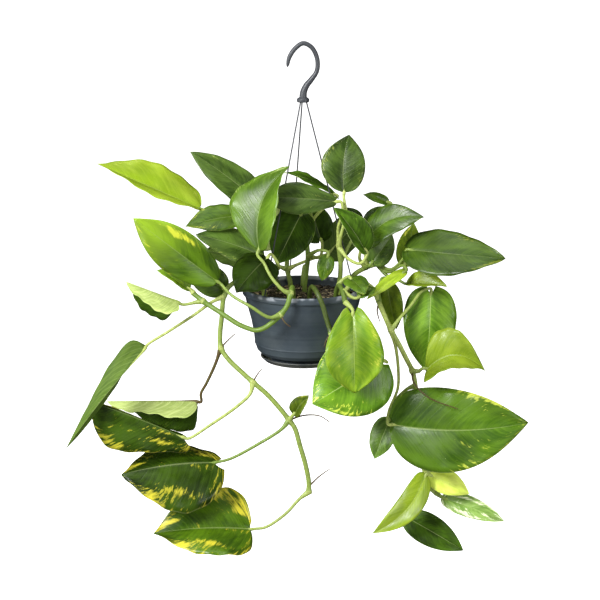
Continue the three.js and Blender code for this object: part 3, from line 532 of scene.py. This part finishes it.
# ---- shaders ----
class Shader:
    """A material's node tree, written as short calls."""

    def __init__(self, name, roughness, specular):
        self.material = bpy.data.materials.new(name)
        self.material.use_nodes = True
        self.tree = self.material.node_tree
        self.surface = self.tree.nodes["Principled BSDF"]
        self.set("Roughness", roughness)
        self.set("Specular IOR Level", specular)

    def feed(self, socket, value):
        """Links a socket to another node's output, or gives it a plain value."""
        if hasattr(value, "is_linked"):
            self.tree.links.new(value, socket)
        else:
            socket.default_value = value

    def set(self, name, value):
        self.feed(self.surface.inputs[name], value)

    def node(self, kind, inputs, output=0, **settings):
        """Adds a node, with its inputs by number or name, and gives one of its outputs."""
        node = self.tree.nodes.new(f"ShaderNode{kind}")
        for name, value in settings.items():
            setattr(node, name, value)
        for key, value in inputs.items():
            self.feed(node.inputs[key], value)
        return node.outputs[output]

    def math(self, operation, *values):
        return self.node("Math", dict(enumerate(values)), operation=operation)

    def scaled(self, value, factor, shift=0):
        """value * factor + shift."""
        return self.math("MULTIPLY_ADD", value, factor, shift)

    def attribute(self, name):
        return self.node("Attribute", {}, "Fac", attribute_name=name)

    def place(self):
        return self.node("TexCoord", {}, "Object")

    def vector(self, *values):
        return self.node("CombineXYZ", dict(enumerate(values)))

    def split(self, vector):
        return self.node("SeparateXYZ", {0: vector}).node.outputs

    def noise(self, vector, scale, detail, roughness=0.55):
        inputs = {"Vector": vector, "Scale": scale, "Detail": detail, "Roughness": roughness}
        return self.node("TexNoise", inputs)

    def spread(self, value, low, high, to_low=0, to_high=1):
        """Maps low..high smoothly to to_low..to_high."""
        limits = dict(enumerate((value, low, high, to_low, to_high)))
        return self.node("MapRange", limits, interpolation_type="SMOOTHSTEP")

    def mix(self, factor, first, second, blend="MIX"):
        return self.node("Mix", {0: factor, 6: first, 7: second}, 2, data_type="RGBA", blend_type=blend)

    def bump(self, height, strength, distance):
        self.set("Normal", self.node("Bump", {"Height": height, "Strength": strength, "Distance": distance}))


def vein_pattern(s):
    """The blade's own coordinates and its veins: v along, a from midrib to edge, w constant along a
    lateral vein, the lateral veins, the midrib, and a number for each half of each leaf."""
    u, v, _ = s.split(s.node("UVMap", {}))
    a = s.math("ABSOLUTE", s.scaled(u, 2, -1))
    seed = s.attribute("seed")
    half = s.scaled(s.math("GREATER_THAN", u, 0.5), 3.7, seed)
    waver = s.noise(s.vector(u, v, seed), 3, 2)
    w = s.scaled(s.math("POWER", a, 1.25), -VEIN_SLANT, s.scaled(waver, 0.06, v))
    comb = s.math("PINGPONG", s.scaled(w, VEIN_PAIRS), 0.5)
    laterals = s.scaled(s.spread(comb, 0, 0.11, 1, 0), s.spread(a, 0.7, 1, 1, 0))
    midrib = s.spread(s.math("DIVIDE", a, s.scaled(v, -0.022, 0.032)), 0.3, 1.2, 1, 0)
    return u, v, a, w, laterals, midrib, half


def streak_noise(s, w, a, half, along, outward, detail):
    """Noise drawn out along the lateral veins, along times finer between them than outward."""
    return s.noise(s.vector(s.scaled(w, along), s.scaled(a, outward), half), 1, detail, 0.62)


def leaf_material(name, look):
    """The upper side: greens that run in streaks along the lateral veins, patches of variegation,
    a fine pale midrib, a waxy skin that the veins quilt, and broad patches of painted light and shade."""
    s = Shader(f"leaf_{name}", 0.36, look["gloss"])
    u, v, a, w, laterals, midrib, half = vein_pattern(s)
    cloud = s.noise(s.vector(w, s.scaled(a, 0.6), half), 3.2, 2)
    stripes = streak_noise(s, w, a, half, 42, 1.5, 3)
    blend = s.scaled(s.math("SUBTRACT", stripes, 0.5), 0.6, cloud)
    green = s.mix(s.spread(blend, 0.25, 0.75), look["dark"], look["light"])
    # painted light: the blade turns to a lighter green towards its tip, as if the light falls there
    if look["tip"]:
        green = s.mix(s.spread(v, 0.3, 0.9, 0, 0.9), green, look["tip"])
    # painted shade and light: broad soft darker and lighter patches over the blade stand for the light and
    # shade that a curved blade takes
    painted_shade = s.spread(s.noise(s.vector(v, u, s.attribute("seed")), 1.9, 1), 0.35, 0.65, 0.76, 1.14)
    green = s.mix(1, green, painted_shade, "MULTIPLY")
    rim = s.scaled(s.spread(a, 0.55, 1), s.spread(cloud, 0.4, 0.6, 0, 0.25))
    green = s.mix(rim, green, look["light"])
    green = s.mix(s.scaled(laterals, 0.22), green, look["light"])
    patch = s.math("SUBTRACT", s.noise(s.vector(v, s.scaled(a, 0.8), half), 2.6, 1), 0.5)
    edge = s.scaled(s.math("SUBTRACT", v, 0.6), look["outward"], s.scaled(a, 0.2, -0.1))
    fleck = s.math("ADD", s.scaled(patch, 0.7, streak_noise(s, w, a, half, 40, 6, 3)), edge)
    fleck_start = 0.76 - 0.18 * look["fleck"]
    streaks = s.scaled(s.spread(fleck, fleck_start, fleck_start + 0.12), 0.6)
    if look["broad"]:
        broad = s.math("ADD", s.scaled(patch, 0.9, streak_noise(s, w, a, half, 13, 1.3, 4)), edge)
        broad_start = 0.74 - 0.24 * look["broad"]
        streaks = s.math("MAXIMUM", s.scaled(s.spread(broad, broad_start, broad_start + 0.16), 0.9), streaks)
    colour = s.mix(streaks, green, look["streak"])
    pale = s.mix(0.4, look["light"], srgb(206, 216, 150))
    colour = s.mix(s.scaled(midrib, 0.42), colour, pale)
    colour = s.mix(s.spread(a, 0.97, 0.995, 0, 0.35), colour, pale)
    s.set("Base Color", s.mix(1, colour, s.attribute("tone"), "MULTIPLY"))
    s.set("Roughness", s.spread(s.noise(s.place(), 60, 3), 0.3, 0.7, 0.26, 0.42))
    s.bump(s.scaled(stripes, 0.5, s.scaled(laterals, -0.3, s.scaled(midrib, -0.5))), 0.4, 0.0006)
    return s.material


def underside_material(name, dark, light, vein):
    """The underside: paler and matter than the top, with the veins standing proud."""
    s = Shader(name, 0.55, 0.3)
    _, _, a, w, laterals, midrib, half = vein_pattern(s)
    cloud = s.noise(s.vector(w, a, half), 5, 3)
    blend = s.scaled(streak_noise(s, w, a, half, 30, 1.5, 3), 0.6, s.scaled(cloud, 0.5))
    colour = s.mix(s.spread(blend, 0.35, 0.75), srgb(*dark), srgb(*light))
    colour = s.mix(s.scaled(laterals, 0.3), colour, srgb(*vein))
    colour = s.mix(s.scaled(midrib, 0.7), colour, srgb(*vein))
    s.set("Base Color", s.mix(1, colour, s.attribute("tone"), "MULTIPLY"))
    s.set("Roughness", s.spread(s.noise(s.place(), 80, 2), 0.3, 0.7, 0.48, 0.62))
    s.bump(s.scaled(laterals, 0.6, midrib), 0.4, 0.0006)
    return s.material


def stem_material():
    """Living stems: tone -0.3 is shaded green, 0 fresh green, 0.5 yellow green and 1 a root's brown."""
    s = Shader("stem_skin", 0.42, 0.45)
    tone = s.attribute("tone")
    streak = s.noise(s.place(), 260, 4)
    colour = s.mix(s.spread(tone, -0.3, 0), srgb(66, 82, 30), srgb(112, 142, 52))
    colour = s.mix(s.spread(tone, 0, 0.5), colour, srgb(190, 204, 112))
    colour = s.mix(s.spread(tone, 0.55, 1), colour, srgb(88, 64, 44))
    colour = s.mix(s.spread(streak, 0.35, 0.7, 0, 0.4), colour, srgb(96, 112, 44))
    s.set("Base Color", colour)
    s.set("Roughness", s.spread(streak, 0.3, 0.7, 0.36, 0.52))
    s.bump(s.noise(s.place(), 900, 3), 0.35, 0.0003)
    return s.material


def plastic_material(name, body, dust_and_sheen, roughness, lip=False):
    """Moulded plastic: fine grain, soft turned streaks lightened by a painted highlight, dust that lightens
    it in patches, and a painted highlight on the lip.
    """
    s = Shader(name, roughness, 0.5)
    place = s.place()
    x, y, z = s.split(place)
    streaks_and_sheen = s.noise(s.vector(s.scaled(x, 2), s.scaled(y, 2), s.scaled(z, 90)), 4, 3)
    patches = s.noise(place, 28, 5, 0.6)
    colour = s.mix(s.spread(patches, 0.4, 0.75, 0, 0.5), srgb(*body), srgb(*dust_and_sheen))
    # the turned streaks raise the surface and lighten it towards the dust colour; the lightening is a
    # painted highlight
    colour = s.mix(s.spread(streaks_and_sheen, 0.35, 0.7, 0, 0.25), colour, srgb(*dust_and_sheen))
    # painted highlight: pale patches on the lip's outer top stand for glints of light there
    if lip:
        height = s.spread(z, (RIM_Z - 6) * MM, (RIM_Z - 3) * MM)
        painted_highlight = s.scaled(height, s.spread(s.noise(place, 45, 2), 0.5, 0.6))
        colour = s.mix(s.scaled(painted_highlight, 0.75), colour, srgb(176, 182, 190))
    s.set("Base Color", colour)
    s.set("Roughness", s.spread(patches, 0.3, 0.7, roughness - 0.06, roughness + 0.1))
    s.bump(s.scaled(s.noise(place, 1400, 2), 0.35, streaks_and_sheen), 0.18, 0.0003)
    return s.material


def soil_material():
    """Moist potting mix: tone 0 is dark peat, 1 is light bark, straw or perlite."""
    s = Shader("soil_mix", 0.9, 0.2)
    grain = s.noise(s.place(), 420, 6, 0.7)
    peat = s.mix(s.spread(grain, 0.35, 0.7), srgb(38, 35, 29), srgb(92, 84, 68))
    s.set("Base Color", s.mix(s.spread(s.attribute("tone"), 0.1, 1), peat, srgb(186, 168, 132)))
    s.bump(grain, 0.9, 0.0012)
    return s.material


# ---- pot, tray and soil ----
POT_OUTSIDE = [
    (46, POT_BOTTOM), (52, POT_BOTTOM + 2), (57, POT_BOTTOM + 7), (59.4, POT_BOTTOM + 14),
    (60.2, POT_BOTTOM + 15), (59.9, POT_BOTTOM + 16.5), (61.4, POT_BOTTOM + 30), (64.6, POT_BOTTOM + 46),
    (69.6, POT_BOTTOM + 64), (72.2, RIM_Z - LIP_HEIGHT),
]


def drain_holes(piece):
    """Bores the drain holes through the pot's floor."""
    for x, y, _ in circle(DRAIN_RING, DRAIN_COUNT):
        points, faces = tube([(x, y, POT_BOTTOM - 3), (x, y, POT_BOTTOM + 5)], DRAIN_RADIUS, 24)
        cutter = make_mesh("cutter", points, faces, smooth=False)
        cut = piece.modifiers.new("drain", "BOOLEAN")
        cut.object = cutter
        cut.solver = "EXACT"
        graph = bpy.context.evaluated_depsgraph_get()
        holed = bpy.data.meshes.new_from_object(piece.evaluated_get(graph))
        piece.modifiers.clear()
        piece.data = holed
        bpy.data.objects.remove(cutter)


def make_pot(material):
    inside = [(radius - WALL, max(height, POT_BOTTOM + WALL))
              for i, (radius, height) in enumerate(POT_OUTSIDE) if i not in (0, 4, 5)]
    lip = [
        (RIM_RADIUS - 1.4, RIM_Z - LIP_HEIGHT), (RIM_RADIUS - 0.2, RIM_Z - LIP_HEIGHT + 1.5),
        (RIM_RADIUS, RIM_Z - 2), (RIM_RADIUS - 0.8, RIM_Z - 0.4),
        (RIM_RADIUS - LIP_DEPTH, RIM_Z), (RIM_RADIUS - LIP_DEPTH - 1.4, RIM_Z - 0.6),
    ]
    bore = PEG_RADIUS + 0.4
    foot = [
        (bore, POT_BOTTOM), (FOOT_RADIUS - FOOT_WIDTH, POT_BOTTOM),
        (FOOT_RADIUS - FOOT_WIDTH, POT_BOTTOM - FOOT_HEIGHT),
        (FOOT_RADIUS, POT_BOTTOM - FOOT_HEIGHT), (FOOT_RADIUS, POT_BOTTOM),
    ]
    profile = foot + POT_OUTSIDE + lip + inside[::-1] + [(bore, POT_BOTTOM + WALL)]
    pot = make_mesh("pot_shell", *lathe(rounded(profile, 0.6, closed=True)))
    drain_holes(pot)
    pot.data.polygons.foreach_set("use_smooth", [True] * len(pot.data.polygons))
    dress(pot, [material], ["pot"])
    for i, angle in enumerate(STRAND_ANGLES):
        make_lug(i, angle, material)


def make_lug(number, angle, material):
    """A small shelf inside the rim, with the hole that a strand's end passes through."""
    half = LUG_SIZE / 2
    low, high = LUG_Z - LUG_THICKNESS / 2, LUG_Z + LUG_THICKNESS / 2
    outline = []
    for x, y, _ in circle(1, 24):
        reach = min(half / max(abs(x), abs(y)), half * 1.25)
        outline.append((reach * x + 1, reach * y))
    hole = [(x, y) for x, y, _ in circle(LUG_HOLE_RADIUS, 24)]
    rings = []
    for ring, height in ((outline, low), (outline, high), (hole, high), (hole, low)):
        rings.append([(*turned(LUG_RING + x, y, math.radians(angle)), height) for x, y in ring])
    lug = make_mesh(f"pot_lug_{number + 1}", *skin(rings, closed=True), smooth=False)
    edge = lug.modifiers.new("edges", "BEVEL")
    edge.width = 0.4 * MM
    edge.segments = 2
    dress(lug, [material])


def make_tray(material):
    floor = POT_BOTTOM - FOOT_HEIGHT - GAP - TRAY_WALL
    top = floor + TRAY_HEIGHT
    floor_top = floor + TRAY_WALL
    pot_floor = POT_BOTTOM + WALL
    profile = [
        (0, floor), (TRAY_FOOT_RADIUS, floor), (TRAY_FOOT_RADIUS + 3.5, floor + 1.2),
        (TRAY_RADIUS - 2.4, top - 3.4), (TRAY_RADIUS - 0.4, top - 1.8), (TRAY_RADIUS, top - 0.8),
        (TRAY_RADIUS - 0.8, top), (TRAY_RADIUS - 2.4, top - 0.6),
        (TRAY_FOOT_RADIUS + 2.6, floor_top + 1.2), (TRAY_FOOT_RADIUS, floor_top),
        (PEG_RADIUS, floor_top), (PEG_RADIUS, pot_floor + 1),
        (PEG_HEAD_RADIUS, pot_floor + 1.4), (PEG_RADIUS - 1.5, pot_floor + 5), (0, pot_floor + 5),
    ]
    tray = make_mesh("drip_tray_dish", *lathe(rounded(profile, 0.5)))
    dress(tray, [material], ["drip_tray"])


def soil_height(radius):
    """The height of the soil's top at a distance from the pot's axis."""
    heights = [SOIL_CROWN - 0.5, SOIL_CROWN, SOIL_CROWN - 1, SOIL_EDGE + 1.5, SOIL_EDGE]
    return float(np.interp(radius, [0, 18, 40, 60, 69.5], heights))


def make_soil(material):
    """The root ball, with a rough crumbly top, and loose bark, roots and perlite on it."""
    rings, tones = [[(0, 0, soil_height(0))]], [0]
    for i in range(1, SOIL_RINGS + 1):
        radius = SOIL_RADIUS * i / SOIL_RINGS
        ring = []
        for x, y, z in circle(radius, SOIL_SPOKES, soil_height(radius)):
            rough = 2.2 * noise.fractal(Vector((x, y, 3)) * 0.16, 0.8, 2.0, 5) - 0.4
            ring.append((x, y, z + rough * (0.3 if i == SOIL_RINGS else 1)))
            tones.append(max(0.0, 0.25 * noise.noise(Vector((x, y, 9)) * 0.35)))
        rings.append(ring)
    for radius, height in ((62.3, POT_BOTTOM + 46), (57.2, POT_BOTTOM + 14), (44, POT_BOTTOM + WALL + GAP)):
        rings.append(circle(radius, SOIL_SPOKES, height))
        tones += [0] * SOIL_SPOKES
    points, faces = skin(rings)
    # the rings run outwards and down, so each face is turned over
    faces = [(face[0], *face[:0:-1]) for face in faces]
    faces.append(tuple(range(len(points) - SOIL_SPOKES, len(points)))[::-1])
    parts = [(points, faces, tones)]
    parts += [soil_bit() for _ in range(SOIL_BITS)] + [soil_thread() for _ in range(SOIL_THREADS)]
    dress(joined("soil_bed", parts), [material], ["soil"])


def soil_bit():
    """One crumb, bark chip or perlite grain with a chipped corner, lying on the soil."""
    radius, turn = 67 * math.sqrt(random.random()), random.uniform(0, 2 * math.pi)
    size = random.uniform(0.8, 2.4)
    flat = random.uniform(0.35, 0.8)
    stretch = random.uniform(1, 2.6)
    heading = random.uniform(0, math.pi)
    tone = random.choice((0.05, 0.1, 0.2, 0.3, 0.45, 0.9))
    centre_x, centre_y = turned(radius, 0, turn)
    points = []
    for level, count in ((-0.8, 5), (0, 6), (0.8, 5)):
        for x, y, _ in circle(1, count):
            reach = size * math.sqrt(1 - level**2) * random.uniform(0.75, 1.2)
            x, y = turned(reach * x * stretch, reach * y, heading)
            x, y = centre_x + x, centre_y + y
            held = min(1, BIT_LIMIT / math.hypot(x, y))
            points.append((x * held, y * held, soil_height(radius) + 0.3 + size * flat * (level + 0.4)))
    faces = [(4, 3, 2, 1, 0), (11, 12, 13, 14, 15)]
    for k in range(5):
        n = (k + 1) % 5
        faces.append((k, n, 5 + n, 5 + k))
        faces.append((5 + k, 5 + n, 11 + n, 11 + k))
    faces.append((9, 10, 5, 4))
    return toned((points, faces), tone)


def soil_thread():
    """A thin pale root that runs over the soil."""
    radius, turn = 60 * math.sqrt(random.random()), random.uniform(0, 2 * math.pi)
    x, y = turned(radius, 0, turn)
    heading = random.uniform(0, 2 * math.pi)
    line = []
    for _ in range(5):
        line.append((x, y, soil_height(math.hypot(x, y)) + random.uniform(0.2, 1.4)))
        heading += random.uniform(-0.7, 0.7)
        x, y = x + 4 * math.cos(heading), y + 4 * math.sin(heading)
        if math.hypot(x, y) > 67:
            break
    return toned(tube(curve_points(line, 1.5), THREAD_RADIUS, 6), random.uniform(0.4, 0.9))


# ---- hanger ----
HOOK_LINE = [
    (-19, 0, -25.5), (-16.5, 0, -14), (-9.5, 0, -3.4), (0, 0, HOOK_RADIUS), (9.2, 0, -1), (15, 0, -9.5),
    (17.6, 0, -20), (16.4, 0, -31), (10.5, 0, -40), (4, 0, -48), (0.6, 0, -56), (0, 0, COLLAR_TOP - 1),
]


def make_hook(material):
    """The bend, thinner and rounded at its tip and thicker at its neck, above a round collar."""
    line = curve_points(HOOK_LINE, HOOK_STEP)
    radii = []
    for i in range(len(line)):
        share = i / (len(line) - 1)
        tip = min(1, (share / 0.12) ** 0.5 * 0.55 + 0.45)
        neck = np.interp(share, [0.7, 1], [1, HOOK_NECK_RADIUS / HOOK_RADIUS])
        end = 0.45 + 0.55 * math.sqrt(min(1, i / 3))
        radii.append(HOOK_RADIUS * tip * neck * end)
    bottom = COLLAR_TOP - COLLAR_HEIGHT
    profile = [
        (0, bottom), (COLLAR_RADIUS - 1, bottom), (COLLAR_RADIUS, bottom + 1),
        (COLLAR_RADIUS, COLLAR_TOP - 2), (HOOK_NECK_RADIUS + 0.6, COLLAR_TOP), (0, COLLAR_TOP),
    ]
    parts = [toned(tube(line, radii, HOOK_SIDES), 0), toned(lathe(rounded(profile, 0.5), 48), 0)]
    dress(joined("hook_and_collar", parts), [material], ["hook"])


def make_strand(number, angle, material):
    """A thin rod from inside the collar through its lug, with a knob under the lug."""
    knob_z = LUG_Z - LUG_THICKNESS / 2 - GAP - KNOB_HEIGHT / 2
    hole_z = COLLAR_TOP - COLLAR_HEIGHT + 1.5
    slope = (LUG_RING - STRAND_TOP_RING) / (hole_z - LUG_Z)
    top = ring_point(angle, STRAND_TOP_RING - slope * 1.5, hole_z + 1.5)
    end = ring_point(angle, LUG_RING + slope * (LUG_Z - knob_z), knob_z)
    rod = tube(curve_points([top, end], 8), STRAND_RADIUS, 10)
    half = KNOB_HEIGHT / 2
    profile = [(0, -half), (KNOB_RADIUS, -half), (KNOB_RADIUS, half), (0, half)]
    knob, knob_faces = lathe(rounded(profile, 0.5), 24)
    knob = [np.add(point, end) for point in knob]
    strand = joined(f"strand_rod_{number + 1}", [toned(rod, 0), toned((knob, knob_faces), 0)])
    dress(strand, [material], [f"strand_{number + 1}"])


# ---- leaf blades ----
def blade_frame(leaf):
    """The blade's own directions, as in the part's source: base, along, up, side and length."""
    base = np.array(leaf["base"], float)
    along = np.array(leaf["tip"], float) - base
    length = np.linalg.norm(along)
    along /= length
    up = np.array(leaf["face"], float)
    up -= along * np.dot(up, along)
    up /= np.linalg.norm(up)
    return base, along, up, np.cross(up, along), length


def blade_points(leaf, station, across):
    """Points of the blade's middle surface, for arrays of stations (0 to 1) and places across (-1 to 1)."""
    base, along, up, side, length = blade_frame(leaf)
    slope = math.radians(leaf.get("fold", BLADE_FOLD))
    spread = np.abs(across)
    moved = np.clip(station, 0, 1) ** leaf.get("full", 1)
    share = 2.1 * (moved + 0.012) ** 0.42 * np.clip(1 - moved, 0, 1) ** 0.75
    share *= 1 - BLADE_PINCH * np.clip(station, 0, 1) ** 8
    share *= 1 - 0.5 * np.exp(-station / 0.014)
    half = leaf["width"] / 2 * share
    reach = station - leaf.get("lobe", BLADE_LOBE) * spread**1.6 * np.clip(1 - station, 0, 1) ** 3
    rise = 4 * reach * (1 - reach)
    turn = math.radians(leaf.get("twist", 0)) * np.clip(reach, 0, None)
    ripple = np.sin(9 * station + 2 * across + leaf["width"]) * spread**2
    ripple = ripple + 0.4 * np.sin(31 * station + leaf["width"] * 3 + 2 * np.sign(across)) * spread**4
    quilt = np.sin(2 * math.pi * VEIN_PAIRS * (station - VEIN_SLANT * spread)) * np.sin(math.pi * spread)
    groove = np.exp(-((across * half / GROOVE_HALF) ** 2)) * (1 - station)
    out = across * half * math.cos(slope)
    lift = spread * half * (math.sin(slope) - BLADE_CUP * spread)
    lift = lift + ripple * BLADE_WAVE * leaf["width"] + quilt * BLADE_QUILT * share - groove * GROOVE_DEPTH
    along_part = (reach * length)[..., None] * along
    up_part = leaf.get("arch", BLADE_ARCH) * length * rise + out * np.sin(turn) + lift * np.cos(turn)
    side_part = leaf.get("bend", 0) * rise + out * np.cos(turn) - lift * np.sin(turn)
    return base + along_part + up_part[..., None] * up + side_part[..., None] * side


def make_blade(name, leaf, number, skins, replaced, grid):
    """A closed blade with a groove over the midrib, a rib under it and thin edges."""
    rows, columns = grid
    places = np.linspace(-1, 1, columns + 1)
    stations, places = (np.arange(rows) / rows) ** 1.3, np.sign(places) * np.abs(places) ** 1.25
    station, across = np.meshgrid(stations, places, indexing="ij")
    step = 0.004
    middle = blade_points(leaf, station, across)
    ahead = blade_points(leaf, np.minimum(station + step, 0.995), across)
    behind = blade_points(leaf, np.maximum(station - step, 0), across)
    right = blade_points(leaf, station, np.minimum(across + step, 1))
    left = blade_points(leaf, station, np.maximum(across - step, -1))
    normal = np.cross(ahead - behind, right - left)
    normal /= np.linalg.norm(normal, axis=-1, keepdims=True)
    half = BLADE_THICKNESS / 2 - (BLADE_THICKNESS - BLADE_EDGE) / 2 * np.abs(across) ** 6
    rib = RIB_DEPTH * (1 - station) * np.exp(-((across * leaf["width"] / 2 / RIB_HALF) ** 2))
    top = (middle + normal * half[..., None]).reshape(-1, 3)
    bottom = (middle - normal * (half + rib)[..., None]).reshape(-1, 3)
    tip = blade_points(leaf, np.array([1.0]), np.array([0.0]))[0]
    edge = blade_frame(leaf)[2] * BLADE_EDGE / 2
    points = np.vstack([top, tip + edge, bottom, tip - edge])
    count = len(top) + 1
    faces, slots = [], []

    def at(row, column):
        return row * (columns + 1) + column if row < rows else count - 1

    def add(face, slot):
        faces.append(tuple(dict.fromkeys(face)))
        slots.append(slot)

    for row in range(rows):
        for column in range(columns):
            face = (at(row, column), at(row + 1, column), at(row + 1, column + 1), at(row, column + 1))
            add(face, 0)
            add(tuple(count + i for i in face[::-1]), 1)
    border = [at(0, column) for column in range(columns + 1)]
    border += [at(row, columns) for row in range(1, rows)] + [count - 1]
    border += [at(row, 0) for row in range(rows - 1, 0, -1)]
    for a, b in zip(border, border[1:] + border[:1]):
        add((a, b, b + count, a + count), 0)
    piece = make_mesh(name, points, faces, slots)
    uv = np.vstack([np.stack([(across.ravel() + 1) / 2, station.ravel()], 1), [[0.5, 1]]])
    set_uv(piece, np.vstack([uv, uv]))
    set_float(piece, "seed", [leaf.get("seed", number * 1.37)] * len(points))
    set_float(piece, "tone", [leaf.get("tone", 1)] * len(points))
    dress(piece, skins, replaced)


# ---- stems ----
def stem_tube(line, knots, tone):
    """The main stem, swollen and browner at its nodes."""
    line = curve_points(line, STEM_STEP)
    radii, tones = [], []
    for point in line:
        near = min([np.linalg.norm(point - np.array(knot)) for knot in knots], default=99)
        radii.append(STEM_RADIUS * (1 + 0.4 * math.exp(-((near / 3.6) ** 2))))
        tones.append(tone + (0.75 - tone) * math.exp(-((near / 1.6) ** 2)))
    return *tube(line, radii, STEM_SIDES), list(np.repeat(tones, STEM_SIDES))


def petiole_tube(leaf, start, tone):
    """A leaf stalk: a sheathing foot, a slight knee before the blade, then on as the midrib's start."""
    base, along, up = blade_frame(leaf)[:3]
    line = curve_points([start, *leaf.get("via", []), base - along * 6, base - up * 0.6], PETIOLE_STEP)
    knee = len(line) - 1
    for station in (0.03, 0.07, 0.12, 0.18, 0.25):
        line.append(blade_points(leaf, np.array([station]), np.array([0.0]))[0] - up * 0.9)
    radii = []
    for i in range(len(line)):
        share = i / knee
        sheath = 0.75 * math.exp(-((i * PETIOLE_STEP / 9) ** 2))
        bend = 0.28 * math.exp(-(((knee - i) * PETIOLE_STEP / 4.5) ** 2))
        radii.append(PETIOLE_RADIUS * (1.05 - 0.2 * share + sheath + bend))
    after = range(knee + 1, len(line))
    radii[knee + 1:] = PETIOLE_RADIUS * np.interp(after, [knee, len(line) - 1], [0.85, 0.15])
    return toned(tube(line, radii, PETIOLE_SIDES), tone)


def root_tube(line):
    """An aerial root that thins to its end."""
    line = curve_points(line, ROOT_STEP)
    return toned(tube(line, ROOT_RADIUS * np.linspace(1.1, 0.5, len(line)), ROOT_SIDES), 1)


def make_stem(name, stem, material):
    """A stem from its foot in the soil along its path, with its nodes, aerial roots and leaf stalks."""
    path = stem["path"]

    def on_path(places):
        return [path[place] if isinstance(place, int) else place for place in places]

    x, y, _ = path[0]
    line = [(x, y, STEM_FOOT), (x, y, STEM_FOOT + 12), (x, y, SOIL_CROWN - 2), *path]
    parts = [stem_tube(line, on_path(stem.get("knots", [])), stem.get("tone", STEM_TONE))]
    for root in stem.get("roots", []):
        parts.append(root_tube(on_path(root)))
    for leaf in stem["leaves"] + stem.get("buds", []):
        start, tone = on_path([leaf["at"]])[0], random.uniform(0.1, 0.5)
        parts.append(petiole_tube(leaf, start, leaf.get("stalk", tone)))
    dress(joined(f"{name}_stalks", parts), [material], [name])


def make_plant(tops, undersides, stem_skin):
    """The stems in turn, each with its leaves and then its buds, which belong to the stem's own node."""
    number = 0
    for name, stem in STEMS.items():
        make_stem(name, stem, stem_skin)
        nodes = [f"{name}_leaf_{i + 1}" for i in range(len(stem["leaves"]))]
        blades = [(f"{node}_blade", leaf, [node], BLADE_GRID) for node, leaf in zip(nodes, stem["leaves"])]
        blades += [(f"{name}_bud_{i + 1}", bud, [], BUD_GRID) for i, bud in enumerate(stem.get("buds", []))]
        for piece_name, leaf, replaced, grid in blades:
            number += 1
            skins = [tops[leaf["look"]], undersides[leaf.get("under", "pale")]]
            make_blade(piece_name, leaf, number, skins, replaced, grid)


# ---- stage, lights and camera ----
TARGET = (-3.7, 0, -312.9)
CAMERA_DISTANCE = 2200
CAMERA_ELEVATION = 12
FOCAL_LENGTH = 106.45
SENSOR_WIDTH = 36
FLOOR_Z = -700
FLOOR_RADIUS = 4000
SHELL_RADIUS = 12000
STAGE_SIDES = 48
# Of each light: its name, place, target, size and power
LIGHTS = [
    ("key", (-1400, -1700, 900), (0, 0, -300), 1000, 74),
    ("side", (-2200, -600, -350), (0, 0, -300), 1300, 12),
    ("top", (-100, -250, 1500), (0, 0, -300), 1400, 10),
    ("fill", (1700, -1600, -100), (0, 0, -350), 1100, 14),
]


def make_stage():
    """A round white floor well under the vines, and a white shell far out round the whole view."""
    s = Shader("white_paper", 0.9, 0.1)
    paper = s.noise(s.place(), 40, 2)
    s.set("Base Color", s.mix(s.spread(paper, 0.3, 0.7), (0.93, 0.93, 0.93, 1), (0.97, 0.97, 0.97, 1)))
    s.set("Emission Color", (1, 1, 1, 1))
    s.set("Emission Strength", 1)
    floor = make_mesh("white_floor", circle(FLOOR_RADIUS, STAGE_SIDES, FLOOR_Z), [tuple(range(STAGE_SIDES))])
    turns = np.linspace(0, math.pi, 25)[1:-1]
    profile = [(SHELL_RADIUS * math.sin(turn), -SHELL_RADIUS * math.cos(turn)) for turn in turns]
    profile = [(0, -SHELL_RADIUS), *profile, (0, SHELL_RADIUS)]
    shell = make_mesh("white_shell", *lathe(profile, STAGE_SIDES))
    shell.visible_shadow = False
    for piece in (floor, shell):
        piece.data.materials.append(s.material)
        piece.visible_diffuse = False
        piece.visible_glossy = False


def aim(piece, place, way):
    """Puts a light or camera at a place and turns it to look along a way."""
    piece.location = Vector(place) * MM
    piece.rotation_euler = way.to_track_quat("-Z", "Y").to_euler()


def make_lights():
    for name, place, target, size, power in LIGHTS:
        light = bpy.data.lights.new(name, "AREA")
        light.shape = "DISK"
        light.size = size * MM
        light.energy = power
        aim(add_object(name, light), place, Vector(target) - Vector(place))


def make_camera():
    camera = bpy.data.cameras.new("camera")
    camera.sensor_width = SENSOR_WIDTH
    camera.lens = FOCAL_LENGTH
    camera.clip_end = 50
    rise = math.radians(CAMERA_ELEVATION)
    offset = Vector((0, -math.cos(rise), math.sin(rise))) * CAMERA_DISTANCE
    eye = add_object("camera", camera)
    aim(eye, Vector(TARGET) + offset, -offset)
    bpy.context.scene.camera = eye


def make_light_and_view():
    scene = bpy.context.scene
    world = bpy.data.worlds.new("studio")
    world.use_nodes = True
    background = world.node_tree.nodes["Background"]
    background.inputs["Color"].default_value = (1, 1, 1, 1)
    background.inputs["Strength"].default_value = 0.4
    world.cycles_visibility.glossy = False
    scene.world = world
    make_lights()
    scene.view_settings.view_transform = "Standard"
    make_camera()


# ---- the whole object ----
make_light_and_view()
make_stage()
pot_plastic = plastic_material("pot_plastic", (62, 72, 80), (86, 96, 102), 0.38, lip=True)
tray_plastic = plastic_material("tray_plastic", (64, 70, 74), (146, 142, 128), 0.38)
hanger_plastic = plastic_material("hanger_plastic", (62, 65, 70), (86, 89, 92), 0.42)
make_pot(pot_plastic)
make_tray(tray_plastic)
make_soil(soil_material())
make_hook(hanger_plastic)
for index, strand_angle in enumerate(STRAND_ANGLES):
    make_strand(index, strand_angle, hanger_plastic)
leaf_tops = {name: leaf_material(name, colours) for name, colours in LOOKS.items()}
leaf_undersides = {name: underside_material(*colours) for name, colours in UNDERSIDES.items()}
make_plant(leaf_tops, leaf_undersides, stem_material())
